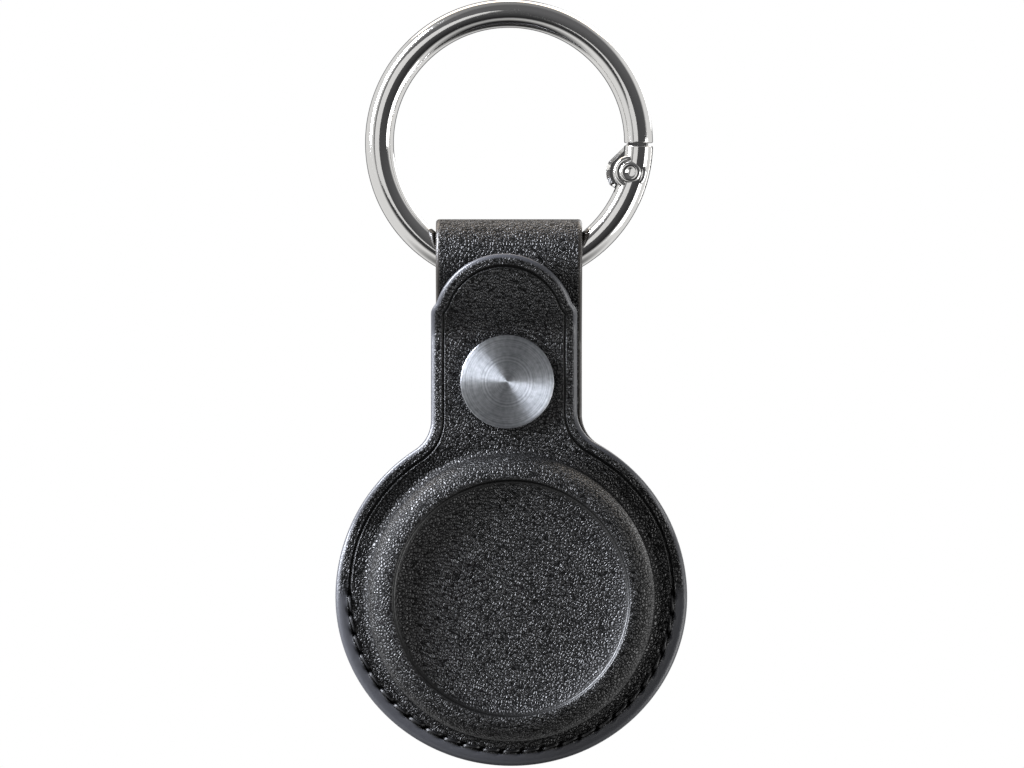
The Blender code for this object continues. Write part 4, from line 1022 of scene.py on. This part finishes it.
# %% Finish: turned steel
def turned_steel(centre):
    """Steel turned round a Y axis: its rings are noise over the distance to the axis."""
    stuff, tree, place = new_finish("turned_stainless_steel")
    away = node(tree, "ShaderNodeVectorMath", {"in0": place}, operation="SUBTRACT",
                in1=(centre[0] * MM, 0.0, centre[1] * MM))
    flat = node(tree, "ShaderNodeVectorMath", {"in0": away.outputs[0]}, operation="MULTIPLY",
                in1=(1.0, 0.0, 1.0))
    radius = node(tree, "ShaderNodeVectorMath", {"in0": flat.outputs[0]}, operation="LENGTH")
    rings = node(tree, "ShaderNodeTexNoise", {"W": radius.outputs["Value"]},
                 noise_dimensions="1D", Scale=5200.0, Detail=3.0)
    stains = node(tree, "ShaderNodeTexNoise", {"Vector": place}, Scale=1800.0, Detail=3.0)
    both = node(tree, "ShaderNodeMath", {"in0": rings.outputs[0], "in1": stains.outputs[0]},
                operation="ADD")
    shade = node(tree, "ShaderNodeMapRange", {"Value": both.outputs[0]}, From_Min=0.7, From_Max=1.3)
    tint = node(tree, "ShaderNodeMix", {"in0": shade.outputs[0]}, data_type="RGBA",
                in6=linear("#989ca1"), in7=linear("#c9ccd1"))
    bump = node(tree, "ShaderNodeBump", {"Height": rings.outputs[0]},
                Strength=0.5, Distance=0.00003)
    tangent = node(tree, "ShaderNodeTangent", direction_type="UV_MAP", uv_map="around")
    links = {"Base_Color": tint.outputs[2], "Normal": bump.outputs[0],
             "Tangent": tangent.outputs[0]}
    return finished(stuff, links, Metallic=1.0, Roughness=0.42,
                    Anisotropic=0.95, Anisotropic_Rotation=0.25)


TURNED = turned_steel(SNAP)


def map_around(obj, centre):
    """UV map whose U goes round a Y axis; each face measures its angles from its own middle."""
    mesh = obj.data
    spots = np.zeros(len(mesh.vertices) * 3)
    mesh.vertices.foreach_get("co", spots)
    spots = spots.reshape(-1, 3) / MM
    corner = np.zeros(len(mesh.loops), dtype=int)
    mesh.loops.foreach_get("vertex_index", corner)
    total = np.zeros(len(mesh.polygons), dtype=int)
    mesh.polygons.foreach_get("loop_total", total)
    face = np.repeat(np.arange(len(total)), total)
    x, z = spots[corner, 0] - centre[0], spots[corner, 2] - centre[1]
    mid = np.arctan2(np.bincount(face, z), np.bincount(face, x))[face]
    turn = mid + (np.arctan2(z, x) - mid + np.pi) % TURN - np.pi
    uv = np.stack([turn / TURN, np.hypot(x, z) / 10], axis=1)
    layer = mesh.uv_layers.new(name="around")
    layer.data.foreach_set("uv", uv.ravel().astype(np.float32))


# %% The snap's parts
def snap_piece(name, profile, body, stands_for):
    """A turned snap part from a closed profile of (radius, depth), with its UV map."""
    sheet = turned([(r, d - REAR_Y) for r, d in profile], SNAP, 128)
    obj = piece(name, [sheet], TURNED, body, stands_for, sharp=35)
    map_around(obj, SNAP)


cap = [(0, 7.22), (0.9, 6.92), (0.9, 5.07), (1.5, 5.07), (1.5, 6.92), (5.50, 6.92), (5.62, 6.96),
       (5.68, 7.06), (5.68, 7.36), (5.67, 7.43), (5.64, 7.48), (5.58, 7.51), (5.50, 7.52)]
# The cap's face is a very shallow dome.
CAP_R = 5.5
CAP_TOP = 7.57
CAP_RISE = 0.05
cap_face = (5.3, 4.8, 4.2, 3.6, 3, 2.4, 1.8, 1.2, 0.8, 0.45, 0.2, 0.08)
cap += [(r, CAP_TOP - CAP_RISE * (r / CAP_R) ** 2) for r in cap_face] + [(0, 7.555)]
snap_piece("snap_button", cap, "flap", ("snap_cap",))
socket = [(2.35, 3.22), (3.6, 3.22), (3.9, 3.32), (4.1, 3.72), (4.1, 5.52), (1.55, 5.52),
          (1.55, 5.02), (2.35, 5.02), (2.35, 3.93), (2.81, 3.93), (2.81, 3.47), (2.35, 3.47),
          (2.35, 3.22)]
snap_piece("snap_cup", socket, "flap", ("snap_socket",))
taper = [(2.0 - 0.8 * s**1.3, 3.5 + 1.4 * s) for s in np.linspace(0, 1, 9)]
stud = [(1.25, 2.75), (3.83, 2.75), (4.0, 2.92), (3.83, 3.10), (1.65, 3.10), *taper,
        (0, 4.9), (0, 4.55), (1.25, 4.55), (1.25, 2.75)]
snap_piece("snap_knob", stud, "pouch", ("snap_stud",))
post = [(0.6, 0.05), (0.8, -0.02), (3.5, -0.02), (3.7, 0.05), (3.8, 0.2), (3.8, 0.45),
        (1.2, 0.45), (1.2, 4.5), (0.6, 4.5), (0.6, 0.05)]
snap_piece("snap_rivet", post, "pouch", ("snap_post",))

# %% [markdown]
# The plunger and the snap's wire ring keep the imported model's shape. The gate's coil spring is
# drawn again, because it shortens by 0.6 mm as the plunger comes in. All three are of spring steel:
# grey, with an uneven dull gloss.


# %% Finish: spring steel
def spring_steel():
    """Drawn steel wire: grey metal, duller than plating, its gloss uneven every 0.14 mm."""
    stuff, tree, place = new_finish("drawn_spring_steel")
    lines = node(tree, "ShaderNodeTexNoise", {"Vector": place}, Scale=7000.0, Detail=2.0)
    gloss = node(tree, "ShaderNodeMapRange", {"Value": lines.outputs[0]}, To_Min=0.25, To_Max=0.42)
    links = {"Roughness": gloss.outputs[0]}
    return finished(stuff, links, Base_Color=linear("#a3a4a6"), Metallic=1.0)


SPRING = spring_steel()
for name in ("gate_plunger", "snap_spring"):
    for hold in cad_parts[name].material_slots:
        hold.material = SPRING

# %% The gate's coil spring
COIL_FROM = 3.91
COIL_TO = 6.63
COIL_R = 0.53
COIL_WIRE = 0.11
COIL_TURNS = 6
bore_way = np.array([np.cos(BORE), 0.0, np.sin(BORE)])
side_way = np.array([-np.sin(BORE), 0.0, np.cos(BORE)])


def coil_rows():
    """Wire of a helix round the bore: its middle is r cos a and r sin a across, evenly along."""
    share = np.linspace(0, 1, COIL_TURNS * 24 + 1)[:, None]
    turn = TURN * COIL_TURNS * share
    radial = np.cos(turn) * side_way + np.sin(turn) * np.array([0.0, 1.0, 0.0])
    middle = PIN + (COIL_FROM + (COIL_TO - COIL_FROM) * share) * bore_way + COIL_R * radial
    around = np.linspace(0, TURN, 13)[None, :-1, None]
    section = np.cos(around) * radial[:, None] + np.sin(around) * bore_way
    rows = middle[:, None] + COIL_WIRE * section
    tips = [0 * rows[:1] + middle[i] for i in (0, -1)]
    return np.concatenate([tips[0], rows, tips[1]])


coil = piece("gate_coil", [coil_rows()], SPRING, "gate", ("gate_spring",), sharp=60)
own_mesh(coil)
